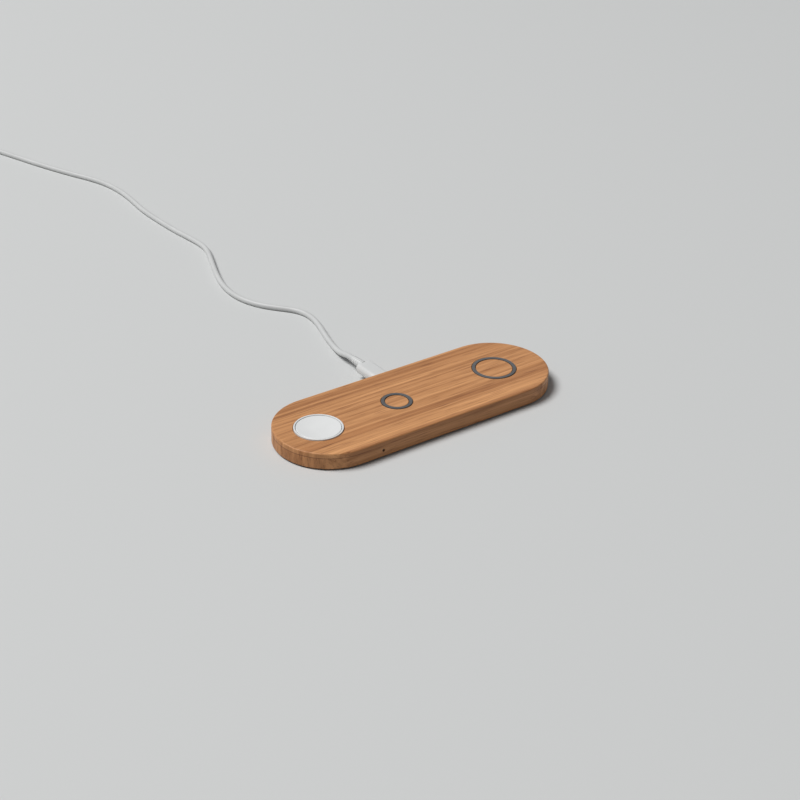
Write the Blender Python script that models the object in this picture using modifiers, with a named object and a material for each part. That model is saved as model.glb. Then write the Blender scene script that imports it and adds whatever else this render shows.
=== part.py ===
# A flat bamboo charging station with a round end at each side, and its white USB lead.
# Metres, +Z up. The origin is on the table under the middle of the slab, +X runs along it
# and +Y points to its back edge, where the lead plugs in.

import math

import bmesh
import bpy
import numpy as np
from mathutils import Matrix

# Slab of bamboo
BODY_LENGTH = 0.180
BODY_WIDTH = 0.064
BODY_HEIGHT = 0.0095
ARRIS_RADIUS = 0.0008
TOP_WEB = 0.0018
RIM_WIDTH = 0.006
RIM_OUTER_WALL = 0.0015
CLEARANCE = 0.0003
RUNNING_CLEARANCE = 0.0003

# Underside
FOOT_STAND = 0.001
FOOT_RADIUS = 0.0045
FOOT_RECESS = 0.0007
FOOT_FROM_END = 0.028
FOOT_FROM_SIDE = 0.015
FOOT_EDGE_SHARE = 0.25
COVER_THICKNESS = 0.0014
BASE_SCREW_FROM_END = 0.055
SCREW_HEAD_RADIUS = 0.0014
SCREW_HEAD_HEIGHT = 0.0006
SCREW_SHANK_RADIUS = 0.0008
SCREW_SHANK_LENGTH = 0.005
SCREW_SLOT_WIDTH = 0.0004
SCREW_SLOT_DEPTH = 0.0003
SCREW_ARM_SHARE = 0.5
SCREW_TIP_SHARE = 0.5
SCREW_RIM_HEIGHT_SHARE = 0.33
SCREW_FACE_SHARE = 0.67

# Watch puck, let into the top near the left end
PUCK_FROM_END = 0.025
PUCK_RADIUS = 0.014
PUCK_PROUD = 0.0006
PUCK_WALL = 0.001
PUCK_LIP_RADIUS = 0.0003
PUCK_FLANGE_WIDTH = 0.0015
PUCK_FLANGE_HEIGHT = 0.001
FACE_SINK = 0.0002
FACE_THICKNESS = 0.0014
FACE_DISH_DEPTH = 0.0007
FACE_FLAT_RADIUS = 0.004
WATCH_COIL_BORE_RADIUS = 0.0056
WATCH_FERRITE_THICKNESS = 0.001
PUCK_BOARD_THICKNESS = 0.0008
PUCK_LID_THICKNESS = 0.0012

# Charging coils under the two flat places
COIL_THICKNESS = 0.0012
FERRITE_THICKNESS = 0.0009
FERRITE_OVERHANG = 0.002
EARBUDS_PLACE_SHARE = 0.4309
EARBUDS_COIL_RADIUS = 0.0145
EARBUDS_COIL_BORE_RADIUS = 0.006
PHONE_COIL_SIDE_GAP = 0.0025
PHONE_COIL_BORE_RADIUS = 0.010
LEAD_DIAMETER = 0.001
LEAD_SPACING = 0.0015
LEAD_DROP = 0.003

# Thin grip rings in the top
GRIP_RING_THICKNESS = 0.0009
GRIP_RING_PROUD = 0.0003
GRIP_RING_WIDTH = 0.002
PHONE_RING_RADIUS = 0.013
EARBUDS_RING_RADIUS = 0.009

# Main board and what stands on it
BOARD_THICKNESS = 0.0008
BOARD_SIDE_GAP = 0.0006
BOARD_PUCK_GAP = 0.0025
BOARD_REACH_SHARE = 0.6
BOARD_TAB_WIDTH = 0.012
BOARD_TAB_LENGTH = 0.0045
BOSS_RADIUS = 0.00275
BOSS_INSET_X = 0.008
BOSS_INSET_Y = 0.005
BOARD_HEAD_RADIUS = 0.0013
BOARD_HEAD_HEIGHT = 0.0005
BOARD_SHANK_RADIUS = 0.0007
BOARD_SHANK_LENGTH = 0.0042
CONTROLLER_SIZE = (0.007, 0.007, 0.0009)
DRIVER_SIZE = (0.005, 0.005, 0.0009)
CAPACITOR_SIZE = (0.0035, 0.0025, 0.0011)
INDUCTOR_SIZE = (0.006, 0.006, 0.0028)
INDUCTOR_CORNER = 0.0008
INDUCTOR_FROM_END = 0.0063
INDUCTOR_ACROSS_SHARE = -0.4

# Status light in the front edge
LED_FROM_END = 0.0464
LED_HEIGHT = 0.0038
LED_SIZE = (0.0016, 0.0014, 0.0008)
LIGHT_HOLE_RADIUS = 0.0009
LIGHT_PIPE_RADIUS = 0.0006
LIGHT_PIPE_RECESS = 0.0005

# USB-C plug and socket
PLUG_WIDTH = 0.00825
PLUG_HEIGHT = 0.0024
PLUG_REACH = 0.00665
PLUG_WALL = 0.0005
SOCKET_WALL = 0.0003
SOCKET_LENGTH = 0.0073
SOCKET_BACK = 0.0006
TONGUE_THICKNESS = 0.0007
TONGUE_LENGTH = 0.0052
PORT_SKIN = 0.001
PORT_EDGE_GAP = 0.0004
PLUG_GRIP_WIDTH = 0.0115
PLUG_GRIP_HEIGHT = 0.0062
PLUG_GRIP_LENGTH = 0.018
PLUG_GRIP_CORNER = 0.0024
PLUG_GRIP_EDGE = 0.0008
PLUG_RELIEF_LENGTH = 0.010
PLUG_RELIEF_RADIUS = 0.0028
RELIEF_WALL = 0.0005
RELIEF_GROOVE = 0.0003
RELIEF_GROOVES = 3

# Cord, coil and USB-A plug
CORD_DIAMETER = 0.0035
CORD_SPACING = 0.0080
COIL_TURNS = 3.5
COIL_TURN_POINTS = 24
COIL_CLIMB_TURNS = 0.5
COIL_INNER_RADIUS = 0.0165
COIL_TURN_GAP = 0.0005
COIL_LIFT_ANGLE = math.radians(60)
TIE_THICKNESS = 0.0008
TIE_WIDTH = 0.006
TIE_CLEARANCE = 0.0005
TIE_TAB_LENGTH = 0.005
TIE_TURN = 0.25
COIL_START_ANGLE = math.radians(15)
COIL_CENTRE = (-0.062, 0.505)
TAIL_MIDDLE = (-0.0827, 0.4825)
TAIL_END = (-0.0836, 0.470)
USB_A_GRIP_SIZE = (0.016, 0.024, 0.008)
USB_A_GRIP_CORNER = 0.002
USB_A_GRIP_EDGE = 0.0008
USB_A_SHELL_WIDTH = 0.012
USB_A_SHELL_HEIGHT = 0.0045
USB_A_SHELL_LENGTH = 0.012
USB_A_SHELL_WALL = 0.0004
USB_A_SHELL_CORNER = 0.0006
USB_A_WINDOW = 0.002
USB_A_WINDOW_SPREAD = 0.005
USB_A_TONGUE_THICKNESS = 0.0018
USB_A_TONGUE_LENGTH = 0.011
USB_A_RELIEF_LENGTH = 0.009
USB_A_RELIEF_RADIUS = 0.003

# The free cord's route on the table, and its heights while it still comes down to it
CORD_DROP_HEIGHTS = (0.0043, 0.0026, 0.0018)
CORD_ROUTE = [
    (0.0006, 0.0735), (0.0022, 0.0810), (0.0040, 0.0885), (0.0068, 0.0995), (0.0112, 0.1140),
    (0.0138, 0.1275), (0.0120, 0.1390), (0.0045, 0.1495), (-0.0040, 0.1610), (-0.0093, 0.1760),
    (-0.0088, 0.1960), (-0.0018, 0.2190), (0.0061, 0.2390), (0.0104, 0.2530), (0.0105, 0.2660),
    (0.0082, 0.2850), (0.0065, 0.3080), (0.0062, 0.3330), (0.0081, 0.3560), (0.0080, 0.3750),
    (0.0037, 0.3957), (-0.0043, 0.4144), (-0.0122, 0.4330), (-0.0190, 0.4510), (-0.0252, 0.4690),
    (-0.0315, 0.4870),
]

# Fineness of round forms, and how far a cutter runs past what it cuts
BODY_ARC_STEPS = 32
INSIDE_ARC_STEPS = 20
ROUND_STEPS = 28
SMALL_ROUND_STEPS = 12
CORNER_STEPS = 4
EDGE_STEPS = 3
SMALL_EDGE_STEPS = 2
DISH_STEPS = 4
SPLINE_STEPS = 40
SHARP_ANGLE = math.radians(35)
BEVEL_ANGLE = math.radians(50)
ROUND_PROFILE_SHARE = 0.5
OVERRUN = 0.001
WELD = 0.000001
MM = 0.001

# Heights, worked out from the sizes above
BODY_RADIUS = BODY_WIDTH / 2
END_X = BODY_LENGTH / 2 - BODY_RADIUS
BODY_BOTTOM = FOOT_STAND
BODY_TOP = BODY_BOTTOM + BODY_HEIGHT
POCKET_TOP = BODY_TOP - TOP_WEB
COVER_TOP = BODY_BOTTOM + COVER_THICKNESS
LEDGE_HEIGHT = COVER_TOP + CLEARANCE
BOARD_BOTTOM = COVER_TOP + CLEARANCE + BOARD_HEAD_HEIGHT + CLEARANCE
BOARD_TOP = BOARD_BOTTOM + BOARD_THICKNESS
SOLDER_TOP = BOARD_TOP + CLEARANCE
COIL_TOP = POCKET_TOP - CLEARANCE
COIL_BOTTOM = COIL_TOP - COIL_THICKNESS
FERRITE_TOP = COIL_BOTTOM - CLEARANCE
BASE_SCREW_TOP = BODY_BOTTOM + SCREW_HEAD_HEIGHT + SCREW_SHANK_LENGTH
BOARD_SCREW_TOP = BOARD_BOTTOM - CLEARANCE + BOARD_SHANK_LENGTH

# Heights in the puck, from its top down
PUCK_TOP = BODY_TOP + PUCK_PROUD
FACE_TOP = PUCK_TOP - FACE_SINK
FACE_LOW = FACE_TOP - FACE_THICKNESS
PUCK_COIL_TOP = FACE_LOW - CLEARANCE
PUCK_COIL_LOW = PUCK_COIL_TOP - COIL_THICKNESS
PUCK_FERRITE_TOP = PUCK_COIL_LOW - CLEARANCE
PUCK_FERRITE_LOW = PUCK_FERRITE_TOP - WATCH_FERRITE_THICKNESS
PUCK_BOARD_TOP = PUCK_FERRITE_LOW - CLEARANCE
PUCK_BOARD_LOW = PUCK_BOARD_TOP - PUCK_BOARD_THICKNESS
PUCK_LID_TOP = PUCK_BOARD_LOW - CLEARANCE
PUCK_LID_LOW = PUCK_LID_TOP - PUCK_LID_THICKNESS
PUCK_LEAD_Z = (PUCK_BOARD_LOW + PUCK_BOARD_TOP) / 2

# Plan sizes
POCKET_RADIUS = BODY_RADIUS - RIM_WIDTH
RABBET_RADIUS = BODY_RADIUS - RIM_OUTER_WALL
COVER_RADIUS = RABBET_RADIUS - CLEARANCE
SCREW_HOLE_RADIUS = SCREW_SHANK_RADIUS + CLEARANCE
SCREW_SEAT_RADIUS = SCREW_HEAD_RADIUS + CLEARANCE
BOARD_HOLE_RADIUS = BOARD_SHANK_RADIUS + CLEARANCE
SCREW_RING = POCKET_RADIUS + SCREW_SEAT_RADIUS + CLEARANCE
LEAD_RADIUS = LEAD_DIAMETER / 2
PUCK_X = -BODY_LENGTH / 2 + PUCK_FROM_END
PHONE_X = END_X
EARBUDS_X = PUCK_X + EARBUDS_PLACE_SHARE * (PHONE_X - PUCK_X)
PHONE_FERRITE_RADIUS = POCKET_RADIUS - PHONE_COIL_SIDE_GAP
PHONE_COIL_RADIUS = PHONE_FERRITE_RADIUS - FERRITE_OVERHANG
EARBUDS_FERRITE_RADIUS = EARBUDS_COIL_RADIUS + FERRITE_OVERHANG
FLANGE_RADIUS = PUCK_RADIUS + PUCK_FLANGE_WIDTH
PUCK_BORE = PUCK_RADIUS - PUCK_WALL
PUCK_INSIDE = PUCK_BORE - CLEARANCE
BOARD_LEFT = PUCK_X + FLANGE_RADIUS + BOARD_PUCK_GAP
COIL_ROOM_START = EARBUDS_X + EARBUDS_FERRITE_RADIUS
COIL_ROOM_END = PHONE_X - PHONE_FERRITE_RADIUS
BOARD_RIGHT = COIL_ROOM_START + BOARD_REACH_SHARE * (COIL_ROOM_END - COIL_ROOM_START)
BOARD_EDGE = POCKET_RADIUS - BOARD_SIDE_GAP
BOARD_MIDDLE = (BOARD_LEFT + BOARD_RIGHT) / 2
BOARD_LENGTH = BOARD_RIGHT - BOARD_LEFT
BOSS_PLACES = [(x, y) for x in (BOARD_LEFT + BOSS_INSET_X, BOARD_RIGHT - BOSS_INSET_X)
               for y in (BOSS_INSET_Y - BOARD_EDGE, BOARD_EDGE - BOSS_INSET_Y)]
BASE_SCREW_X = BODY_LENGTH / 2 - BASE_SCREW_FROM_END
SCREW_PLACES = [(-BASE_SCREW_X, -SCREW_RING), (BASE_SCREW_X, -SCREW_RING),
                (-BASE_SCREW_X, SCREW_RING), (BASE_SCREW_X, SCREW_RING),
                (-END_X - SCREW_RING, 0), (END_X + SCREW_RING, 0)]
FOOT_PLACES = [(side * (BODY_LENGTH / 2 - FOOT_FROM_END), across * (BODY_RADIUS - FOOT_FROM_SIDE))
               for side in (-1, 1) for across in (-1, 1)]
LED_X = -BODY_LENGTH / 2 + LED_FROM_END

# Socket and plug, in line with each other through the back edge
SOCKET_WIDTH = PLUG_WIDTH + 2 * (RUNNING_CLEARANCE + SOCKET_WALL)
SOCKET_HEIGHT = PLUG_HEIGHT + 2 * (RUNNING_CLEARANCE + SOCKET_WALL)
PORT_Z = SOLDER_TOP + SOCKET_HEIGHT / 2
SOCKET_MOUTH = BODY_RADIUS - PORT_SKIN - CLEARANCE
SOCKET_REAR = SOCKET_MOUTH - SOCKET_LENGTH
PLUG_TIP = BODY_RADIUS + CLEARANCE - PLUG_REACH
PLUG_FACE = BODY_RADIUS + CLEARANCE
PLUG_GRIP_END = PLUG_FACE + PLUG_GRIP_LENGTH
PLUG_RELIEF_END = PLUG_GRIP_END + CLEARANCE + PLUG_RELIEF_LENGTH
CORD_RADIUS = CORD_DIAMETER / 2
COIL_PITCH = CORD_DIAMETER + COIL_TURN_GAP

# Colour, roughness and metallic value of each finish
FINISHES = {
    "bamboo": ((0.45, 0.26, 0.14), 0.55, 0.0),
    "base_plastic": ((0.03, 0.03, 0.032), 0.6, 0.0),
    "rubber": ((0.02, 0.02, 0.02), 0.85, 0.0),
    "screw_steel": ((0.45, 0.45, 0.46), 0.35, 1.0),
    "white_plastic": ((0.78, 0.78, 0.77), 0.4, 0.0),
    "silicone": ((0.10, 0.10, 0.10), 0.8, 0.0),
    "copper": ((0.72, 0.35, 0.18), 0.35, 1.0),
    "ferrite": ((0.06, 0.06, 0.065), 0.7, 0.0),
    "magnet": ((0.62, 0.62, 0.63), 0.3, 1.0),
    "circuit_board": ((0.02, 0.14, 0.06), 0.5, 0.0),
    "chip": ((0.02, 0.02, 0.022), 0.5, 0.0),
    "ceramic": ((0.48, 0.36, 0.22), 0.5, 0.0),
    "lens": ((0.85, 0.87, 0.88), 0.2, 0.0),
    "connector_steel": ((0.72, 0.72, 0.73), 0.25, 1.0),
    "insulator": ((0.04, 0.04, 0.04), 0.5, 0.0),
    "white_cord": ((0.74, 0.74, 0.73), 0.5, 0.0),
}

for old in list(bpy.data.objects):
    bpy.data.objects.remove(old, do_unlink=True)
PARTS = bpy.data.collections.new("charging_station")
CUTTERS = bpy.data.collections.new("cutters")
bpy.context.scene.collection.children.link(PARTS)
bpy.context.scene.collection.children.link(CUTTERS)


def finish_material(finish):
    """The Principled material of a finish, made the first time it is asked for."""
    made = bpy.data.materials.get(finish)
    if made:
        return made
    colour, roughness, metallic = FINISHES[finish]
    made = bpy.data.materials.new(finish)
    made.use_nodes = True
    shader = made.node_tree.nodes["Principled BSDF"]
    shader.inputs["Base Color"].default_value = (*colour, 1.0)
    shader.inputs["Roughness"].default_value = roughness
    shader.inputs["Metallic"].default_value = metallic
    made.diffuse_color = (*colour, 1.0)
    return made


def part(name, mesh, finish, place=(0, 0, 0), turn=(0, 0, 0)):
    """A named piece in the parts collection."""
    piece = bpy.data.objects.new(name, mesh)
    PARTS.objects.link(piece)
    piece.location = place
    piece.rotation_euler = turn
    if not mesh.materials:
        mesh.materials.append(finish_material(finish))
    mesh.shade_smooth()
    mesh.set_sharp_from_angle(angle=SHARP_ANGLE)
    return piece


def cutter(name, mesh, place=(0, 0, 0), turn=(0, 0, 0)):
    """A hidden piece that cuts others."""
    tool = bpy.data.objects.new(name, mesh)
    CUTTERS.objects.link(tool)
    tool.location = place
    tool.rotation_euler = turn
    tool.hide_render = True
    tool.display_type = "WIRE"
    return tool


def cut(piece, *tools, solver="EXACT"):
    """Takes each cutter out of a piece. Where EXACT leaves open edges, the solver is MANIFOLD."""
    for tool in tools:
        modifier = piece.modifiers.new(tool.name, "BOOLEAN")
        modifier.operation = "DIFFERENCE"
        modifier.solver = solver
        modifier.object = tool


def cleaned(mesh):
    """Welds loose caps and turns every face outwards."""
    shape = bmesh.new()
    shape.from_mesh(mesh)
    bmesh.ops.remove_doubles(shape, verts=shape.verts, dist=WELD)
    bmesh.ops.recalc_face_normals(shape, faces=shape.faces)
    shape.to_mesh(mesh)
    shape.free()
    return mesh


def mesh_of_curve(name, curve):
    """The closed mesh of a curve, whose own object goes away again."""
    guide = bpy.data.objects.new(name + "_guide", curve)
    CUTTERS.objects.link(guide)
    bpy.context.view_layer.update()
    seen = guide.evaluated_get(bpy.context.evaluated_depsgraph_get())
    mesh = bpy.data.meshes.new_from_object(seen)
    mesh.name = name
    bpy.data.objects.remove(guide, do_unlink=True)
    bpy.data.curves.remove(curve)
    return cleaned(mesh)


def plate(name, outlines, low, high):
    """Nested flat outlines, filled between and extruded from one height to another."""
    curve = bpy.data.curves.new(name, "CURVE")
    curve.dimensions = "2D"
    curve.fill_mode = "BOTH"
    curve.extrude = (high - low) / 2
    for outline in outlines:
        spline = curve.splines.new("POLY")
        spline.points.add(len(outline) - 1)
        for point, (x, y) in zip(spline.points, outline):
            point.co = (x, y, 0, 1)
        spline.use_cyclic_u = True
    mesh = mesh_of_curve(name, curve)
    mesh.transform(Matrix.Translation((0, 0, (low + high) / 2)))
    return mesh


def arc(centre, radius, start, end, steps):
    """Points on an arc, both ends included, angles in quarter turns."""
    angles = [math.pi / 2 * (start + (end - start) * i / steps) for i in range(steps + 1)]
    return [(centre[0] + radius * math.cos(a), centre[1] + radius * math.sin(a)) for a in angles]


def stadium(half_run, radius, steps):
    """A straight-sided outline with a half circle at each end."""
    return arc((half_run, 0), radius, -1, 1, steps) + arc((-half_run, 0), radius, 1, 3, steps)


def racetrack(width, height):
    """A lying stadium of a given width and height about the origin."""
    return stadium((width - height) / 2, height / 2, 2 * CORNER_STEPS)


def circle(centre, radius, steps):
    """A whole circle, without the repeated last point."""
    return arc(centre, radius, 0, 4, steps)[:-1]


def rounded_rectangle(width, height, corner):
    """A rectangle about the origin with rounded corners."""
    x, y = width / 2 - corner, height / 2 - corner
    corners = (((x, y), 0), ((-x, y), 1), ((-x, -y), 2), ((x, -y), 3))
    return [p for centre, q in corners for p in arc(centre, corner, q, q + 1, CORNER_STEPS)]


def round_bar(radius, low, high, steps):
    """A cylinder along Z from one height to another."""
    mesh = bpy.data.meshes.new("round_bar")
    shape = bmesh.new()
    bmesh.ops.create_cone(shape, cap_ends=True, segments=steps, radius1=radius, radius2=radius,
                          depth=high - low)
    bmesh.ops.translate(shape, verts=shape.verts, vec=(0, 0, (low + high) / 2))
    shape.to_mesh(mesh)
    shape.free()
    return mesh


def block(size):
    """A box about the origin."""
    mesh = bpy.data.meshes.new("block")
    shape = bmesh.new()
    bmesh.ops.create_cube(shape, size=1)
    bmesh.ops.scale(shape, verts=shape.verts, vec=size)
    shape.to_mesh(mesh)
    shape.free()
    return mesh


def bevel(piece, width, segments):
    """Rounds the edges that are sharper than a facet of a round form."""
    modifier = piece.modifiers.new("rounded_edges", "BEVEL")
    modifier.width = width
    modifier.segments = segments
    modifier.limit_method = "ANGLE"
    modifier.angle_limit = BEVEL_ANGLE


def turned(name, profile, steps):
    """A profile of radius and height, from the top of its outer side down, turned about Z."""
    count = len(profile)
    closed = profile[0][0] > 0
    mesh = bpy.data.meshes.new(name)
    edges = [(i, i + 1) for i in range(count - 1)] + ([(count - 1, 0)] if closed else [])
    mesh.from_pydata([(r, 0, z) for r, z in profile], edges, [])
    guide = bpy.data.objects.new(name + "_guide", mesh)
    CUTTERS.objects.link(guide)
    screw = guide.modifiers.new("turn", "SCREW")
    screw.steps = steps
    screw.render_steps = steps
    screw.use_merge_vertices = True
    screw.merge_threshold = WELD
    return baked(guide, name)


def baked(guide, name):
    """The finished mesh of a guide object with its modifiers, and the guide removed."""
    bpy.context.view_layer.update()
    seen = guide.evaluated_get(bpy.context.evaluated_depsgraph_get())
    mesh = bpy.data.meshes.new_from_object(seen)
    mesh.name = name
    bpy.data.objects.remove(guide, do_unlink=True)
    return cleaned(mesh)


def tube(name, points, radius, sides_level, finish):
    """A round bar along points, with filled ends."""
    curve = bpy.data.curves.new(name, "CURVE")
    curve.dimensions = "3D"
    curve.bevel_depth = radius
    curve.bevel_resolution = sides_level
    curve.use_fill_caps = True
    spline = curve.splines.new("POLY")
    spline.points.add(len(points) - 1)
    for point, place in zip(spline.points, points):
        point.co = (*place, 1)
    return part(name, mesh_of_curve(name, curve), finish)


def smooth_curve(route, spacing):
    """Points at even steps on the natural cubic spline through a route's own points."""
    route = np.array(route, float)
    knots = np.concatenate(([0], np.cumsum(np.linalg.norm(np.diff(route, axis=0), axis=1))))
    steps = np.diff(knots)
    count = len(route)
    system = np.eye(count)
    right = np.zeros((count, 3))
    for i in range(1, count - 1):
        system[i, i - 1:i + 2] = steps[i - 1], 2 * (steps[i - 1] + steps[i]), steps[i]
        slope_after = (route[i + 1] - route[i]) / steps[i]
        slope_before = (route[i] - route[i - 1]) / steps[i - 1]
        right[i] = 6 * (slope_after - slope_before)
    bend = np.linalg.solve(system, right)

    def at(length):
        """The spline's point at each knot length."""
        i = np.clip(np.searchsorted(knots, length, side="right") - 1, 0, count - 2)
        h = steps[i][:, None]
        b = ((length - knots[i]) / steps[i])[:, None]
        a = 1 - b
        curve = ((a ** 3 - a) * bend[i] + (b ** 3 - b) * bend[i + 1]) * h ** 2 / 6
        return a * route[i] + b * route[i + 1] + curve

    fine = at(np.linspace(0, knots[-1], SPLINE_STEPS * count))
    run = np.concatenate(([0], np.cumsum(np.linalg.norm(np.diff(fine, axis=0), axis=1))))
    wanted = np.linspace(0, run[-1], max(2, round(run[-1] / spacing)) + 1)
    return np.column_stack([np.interp(wanted, run, fine[:, k]) for k in range(3)]), run[-1]


# Turns a plate drawn in X and Y so that it stands in X and Z and is extruded along -Y
UPRIGHT = (math.pi / 2, 0, 0)


def rounded_slab(name):
    """The slab's outline, extruded, with its top edge rounded before anything is cut."""
    mesh = plate(name, [stadium(END_X, BODY_RADIUS, BODY_ARC_STEPS)], BODY_BOTTOM, BODY_TOP)
    shape = bmesh.new()
    shape.from_mesh(mesh)
    top = [e for e in shape.edges if len(e.link_faces) == 2
           and all(v.co.z > BODY_TOP - WELD for v in e.verts)
           and any(f.calc_center_median().z < BODY_TOP - WELD for f in e.link_faces)]
    bmesh.ops.bevel(shape, geom=top, offset=ARRIS_RADIUS, segments=EDGE_STEPS,
                    profile=ROUND_PROFILE_SHARE, affect="EDGES")
    shape.to_mesh(mesh)
    shape.free()
    return mesh


def screw_hole(name, head_radius, head_top, hole_radius, hole_top, low):
    """A stepped cutter for a screw: the seat of its head below, its hole above."""
    profile = [(0, hole_top), (hole_radius, hole_top), (hole_radius, head_top),
               (head_radius, head_top), (head_radius, low), (0, low)]
    return turned(name, profile, SMALL_ROUND_STEPS)


def hollow_body(body):
    """The rabbet for the cover, and the hollow above it, whose cutter leaves four bosses."""
    low = BODY_BOTTOM - OVERRUN
    rabbet = plate("rabbet", [stadium(END_X, RABBET_RADIUS, INSIDE_ARC_STEPS)], low, LEDGE_HEIGHT)
    pocket = plate("pocket", [stadium(END_X, POCKET_RADIUS, INSIDE_ARC_STEPS)], low, POCKET_TOP)
    hollow = cutter("pocket", pocket)
    for i, (x, y) in enumerate(BOSS_PLACES):
        boss = round_bar(BOSS_RADIUS, SOLDER_TOP, POCKET_TOP + OVERRUN, SMALL_ROUND_STEPS)
        cut(hollow, cutter(f"boss_{i + 1}", boss, (x, y, 0)), solver="MANIFOLD")
    cut(body, cutter("rabbet", rabbet), hollow, solver="MANIFOLD")


def open_top(body):
    """The puck's hole and the two grooves for the grip rings."""
    hole = round_bar(PUCK_RADIUS + CLEARANCE, COIL_BOTTOM, BODY_TOP + OVERRUN, ROUND_STEPS)
    cut(body, cutter("puck_hole", hole, (PUCK_X, 0, 0)), solver="MANIFOLD")
    floor = BODY_TOP + GRIP_RING_PROUD - GRIP_RING_THICKNESS - CLEARANCE
    for name, x, radius in (("phone", PHONE_X, PHONE_RING_RADIUS),
                            ("earbuds", EARBUDS_X, EARBUDS_RING_RADIUS)):
        outlines = [circle((0, 0), radius + CLEARANCE, ROUND_STEPS),
                    circle((0, 0), radius - GRIP_RING_WIDTH - CLEARANCE, ROUND_STEPS)]
        groove = plate(name + "_groove", outlines, floor, BODY_TOP + OVERRUN)
        cut(body, cutter(name + "_groove", groove, (x, 0, 0)), solver="MANIFOLD")


def open_edges(body):
    """The plug's slot in the back edge, the room for its socket, and the light's hole in front."""
    low = COVER_TOP
    high = PORT_Z + SOCKET_HEIGHT / 2 + CLEARANCE
    depth = BODY_RADIUS - PORT_SKIN - POCKET_RADIUS + OVERRUN
    notch = block((BOARD_TAB_WIDTH + 2 * CLEARANCE, depth, high - low))
    notch_place = (0, BODY_RADIUS - PORT_SKIN - depth / 2, (low + high) / 2)
    outline = racetrack(PLUG_WIDTH + 2 * PORT_EDGE_GAP, PLUG_HEIGHT + 2 * PORT_EDGE_GAP)
    slot = plate("port_slot", [outline], -BODY_RADIUS - OVERRUN, OVERRUN - SOCKET_MOUTH)
    light = round_bar(LIGHT_HOLE_RADIUS, POCKET_RADIUS - OVERRUN, BODY_RADIUS + OVERRUN, SMALL_ROUND_STEPS)
    cut(body, cutter("socket_notch", notch, notch_place), cutter("port_slot", slot, (0, 0, PORT_Z), UPRIGHT),
        cutter("light_hole", light, (LED_X, 0, BODY_BOTTOM + LED_HEIGHT), UPRIGHT), solver="MANIFOLD")


def drill(body, name, places, radius, low, high):
    """Blind holes for screws that come from below."""
    for i, (x, y) in enumerate(places):
        hole = round_bar(radius, low, high, SMALL_ROUND_STEPS)
        cut(body, cutter(f"{name}_{i + 1}", hole, (x, y, 0)), solver="MANIFOLD")


def bamboo_body():
    """One block of bamboo, hollowed from below, with its holes for puck, light and plug."""
    body = part("bamboo_body", rounded_slab("bamboo_body"), "bamboo")
    hollow_body(body)
    open_top(body)
    open_edges(body)
    drill(body, "base_screw_hole", SCREW_PLACES, SCREW_HOLE_RADIUS, COVER_TOP, BASE_SCREW_TOP + CLEARANCE)
    drill(body, "boss_hole", BOSS_PLACES, BOARD_HOLE_RADIUS, BOARD_TOP, BOARD_SCREW_TOP + CLEARANCE)


def base_cover():
    """The plastic plate under the slab, with its screw seats and foot recesses."""
    cover = part("base_cover", plate("base_cover", [stadium(END_X, COVER_RADIUS, INSIDE_ARC_STEPS)],
                                     BODY_BOTTOM, COVER_TOP), "base_plastic")
    seat_top = BODY_BOTTOM + SCREW_HEAD_HEIGHT + CLEARANCE
    for i, (x, y) in enumerate(SCREW_PLACES):
        seat = screw_hole("cover_screw_hole", SCREW_SEAT_RADIUS, seat_top, SCREW_HOLE_RADIUS,
                          COVER_TOP + OVERRUN, BODY_BOTTOM - OVERRUN)
        cut(cover, cutter(f"cover_screw_hole_{i + 1}", seat, (x, y, 0)))
    recess_top = BODY_BOTTOM + FOOT_RECESS
    for i, (x, y) in enumerate(FOOT_PLACES):
        recess = round_bar(FOOT_RADIUS + CLEARANCE, BODY_BOTTOM - OVERRUN, recess_top, ROUND_STEPS)
        cut(cover, cutter(f"foot_recess_{i + 1}", recess, (x, y, 0)))


def feet():
    """Four round rubber feet, each let into its recess."""
    top = BODY_BOTTOM + FOOT_RECESS - CLEARANCE
    edge = FOOT_EDGE_SHARE * top
    profile = [(0, top), (FOOT_RADIUS, top), (FOOT_RADIUS, edge), (FOOT_RADIUS - edge, 0), (0, 0)]
    shared = turned("foot", profile, ROUND_STEPS)
    for i, (x, y) in enumerate(FOOT_PLACES):
        part(f"foot_{i + 1}", shared, "rubber", (x, y, 0))


def screw_mesh(name, head_radius, head_height, shank_radius, shank_length):
    """A screw with its head below: a turned form with a cross recess in the head."""
    tip = SCREW_TIP_SHARE * shank_radius
    top = head_height + shank_length
    rim = SCREW_RIM_HEIGHT_SHARE * head_height
    profile = [(0, top), (shank_radius - tip, top), (shank_radius, top - tip), (shank_radius, head_height),
               (head_radius, head_height), (head_radius, rim), (SCREW_FACE_SHARE * head_radius, 0), (0, 0)]
    guide = bpy.data.objects.new(name + "_guide", turned(name, profile, SMALL_ROUND_STEPS))
    CUTTERS.objects.link(guide)
    arm, half = SCREW_ARM_SHARE * head_radius, SCREW_SLOT_WIDTH / 2
    cross = [(half, half), (arm, half), (arm, -half), (half, -half), (half, -arm), (-half, -arm),
             (-half, -half), (-arm, -half), (-arm, half), (-half, half), (-half, arm), (half, arm)]
    recess = cutter(name + "_cross", plate(name + "_cross", [cross], -OVERRUN, SCREW_SLOT_DEPTH))
    cut(guide, recess, solver="MANIFOLD")
    mesh = baked(guide, name)
    bpy.data.objects.remove(recess, do_unlink=True)
    return mesh


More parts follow.
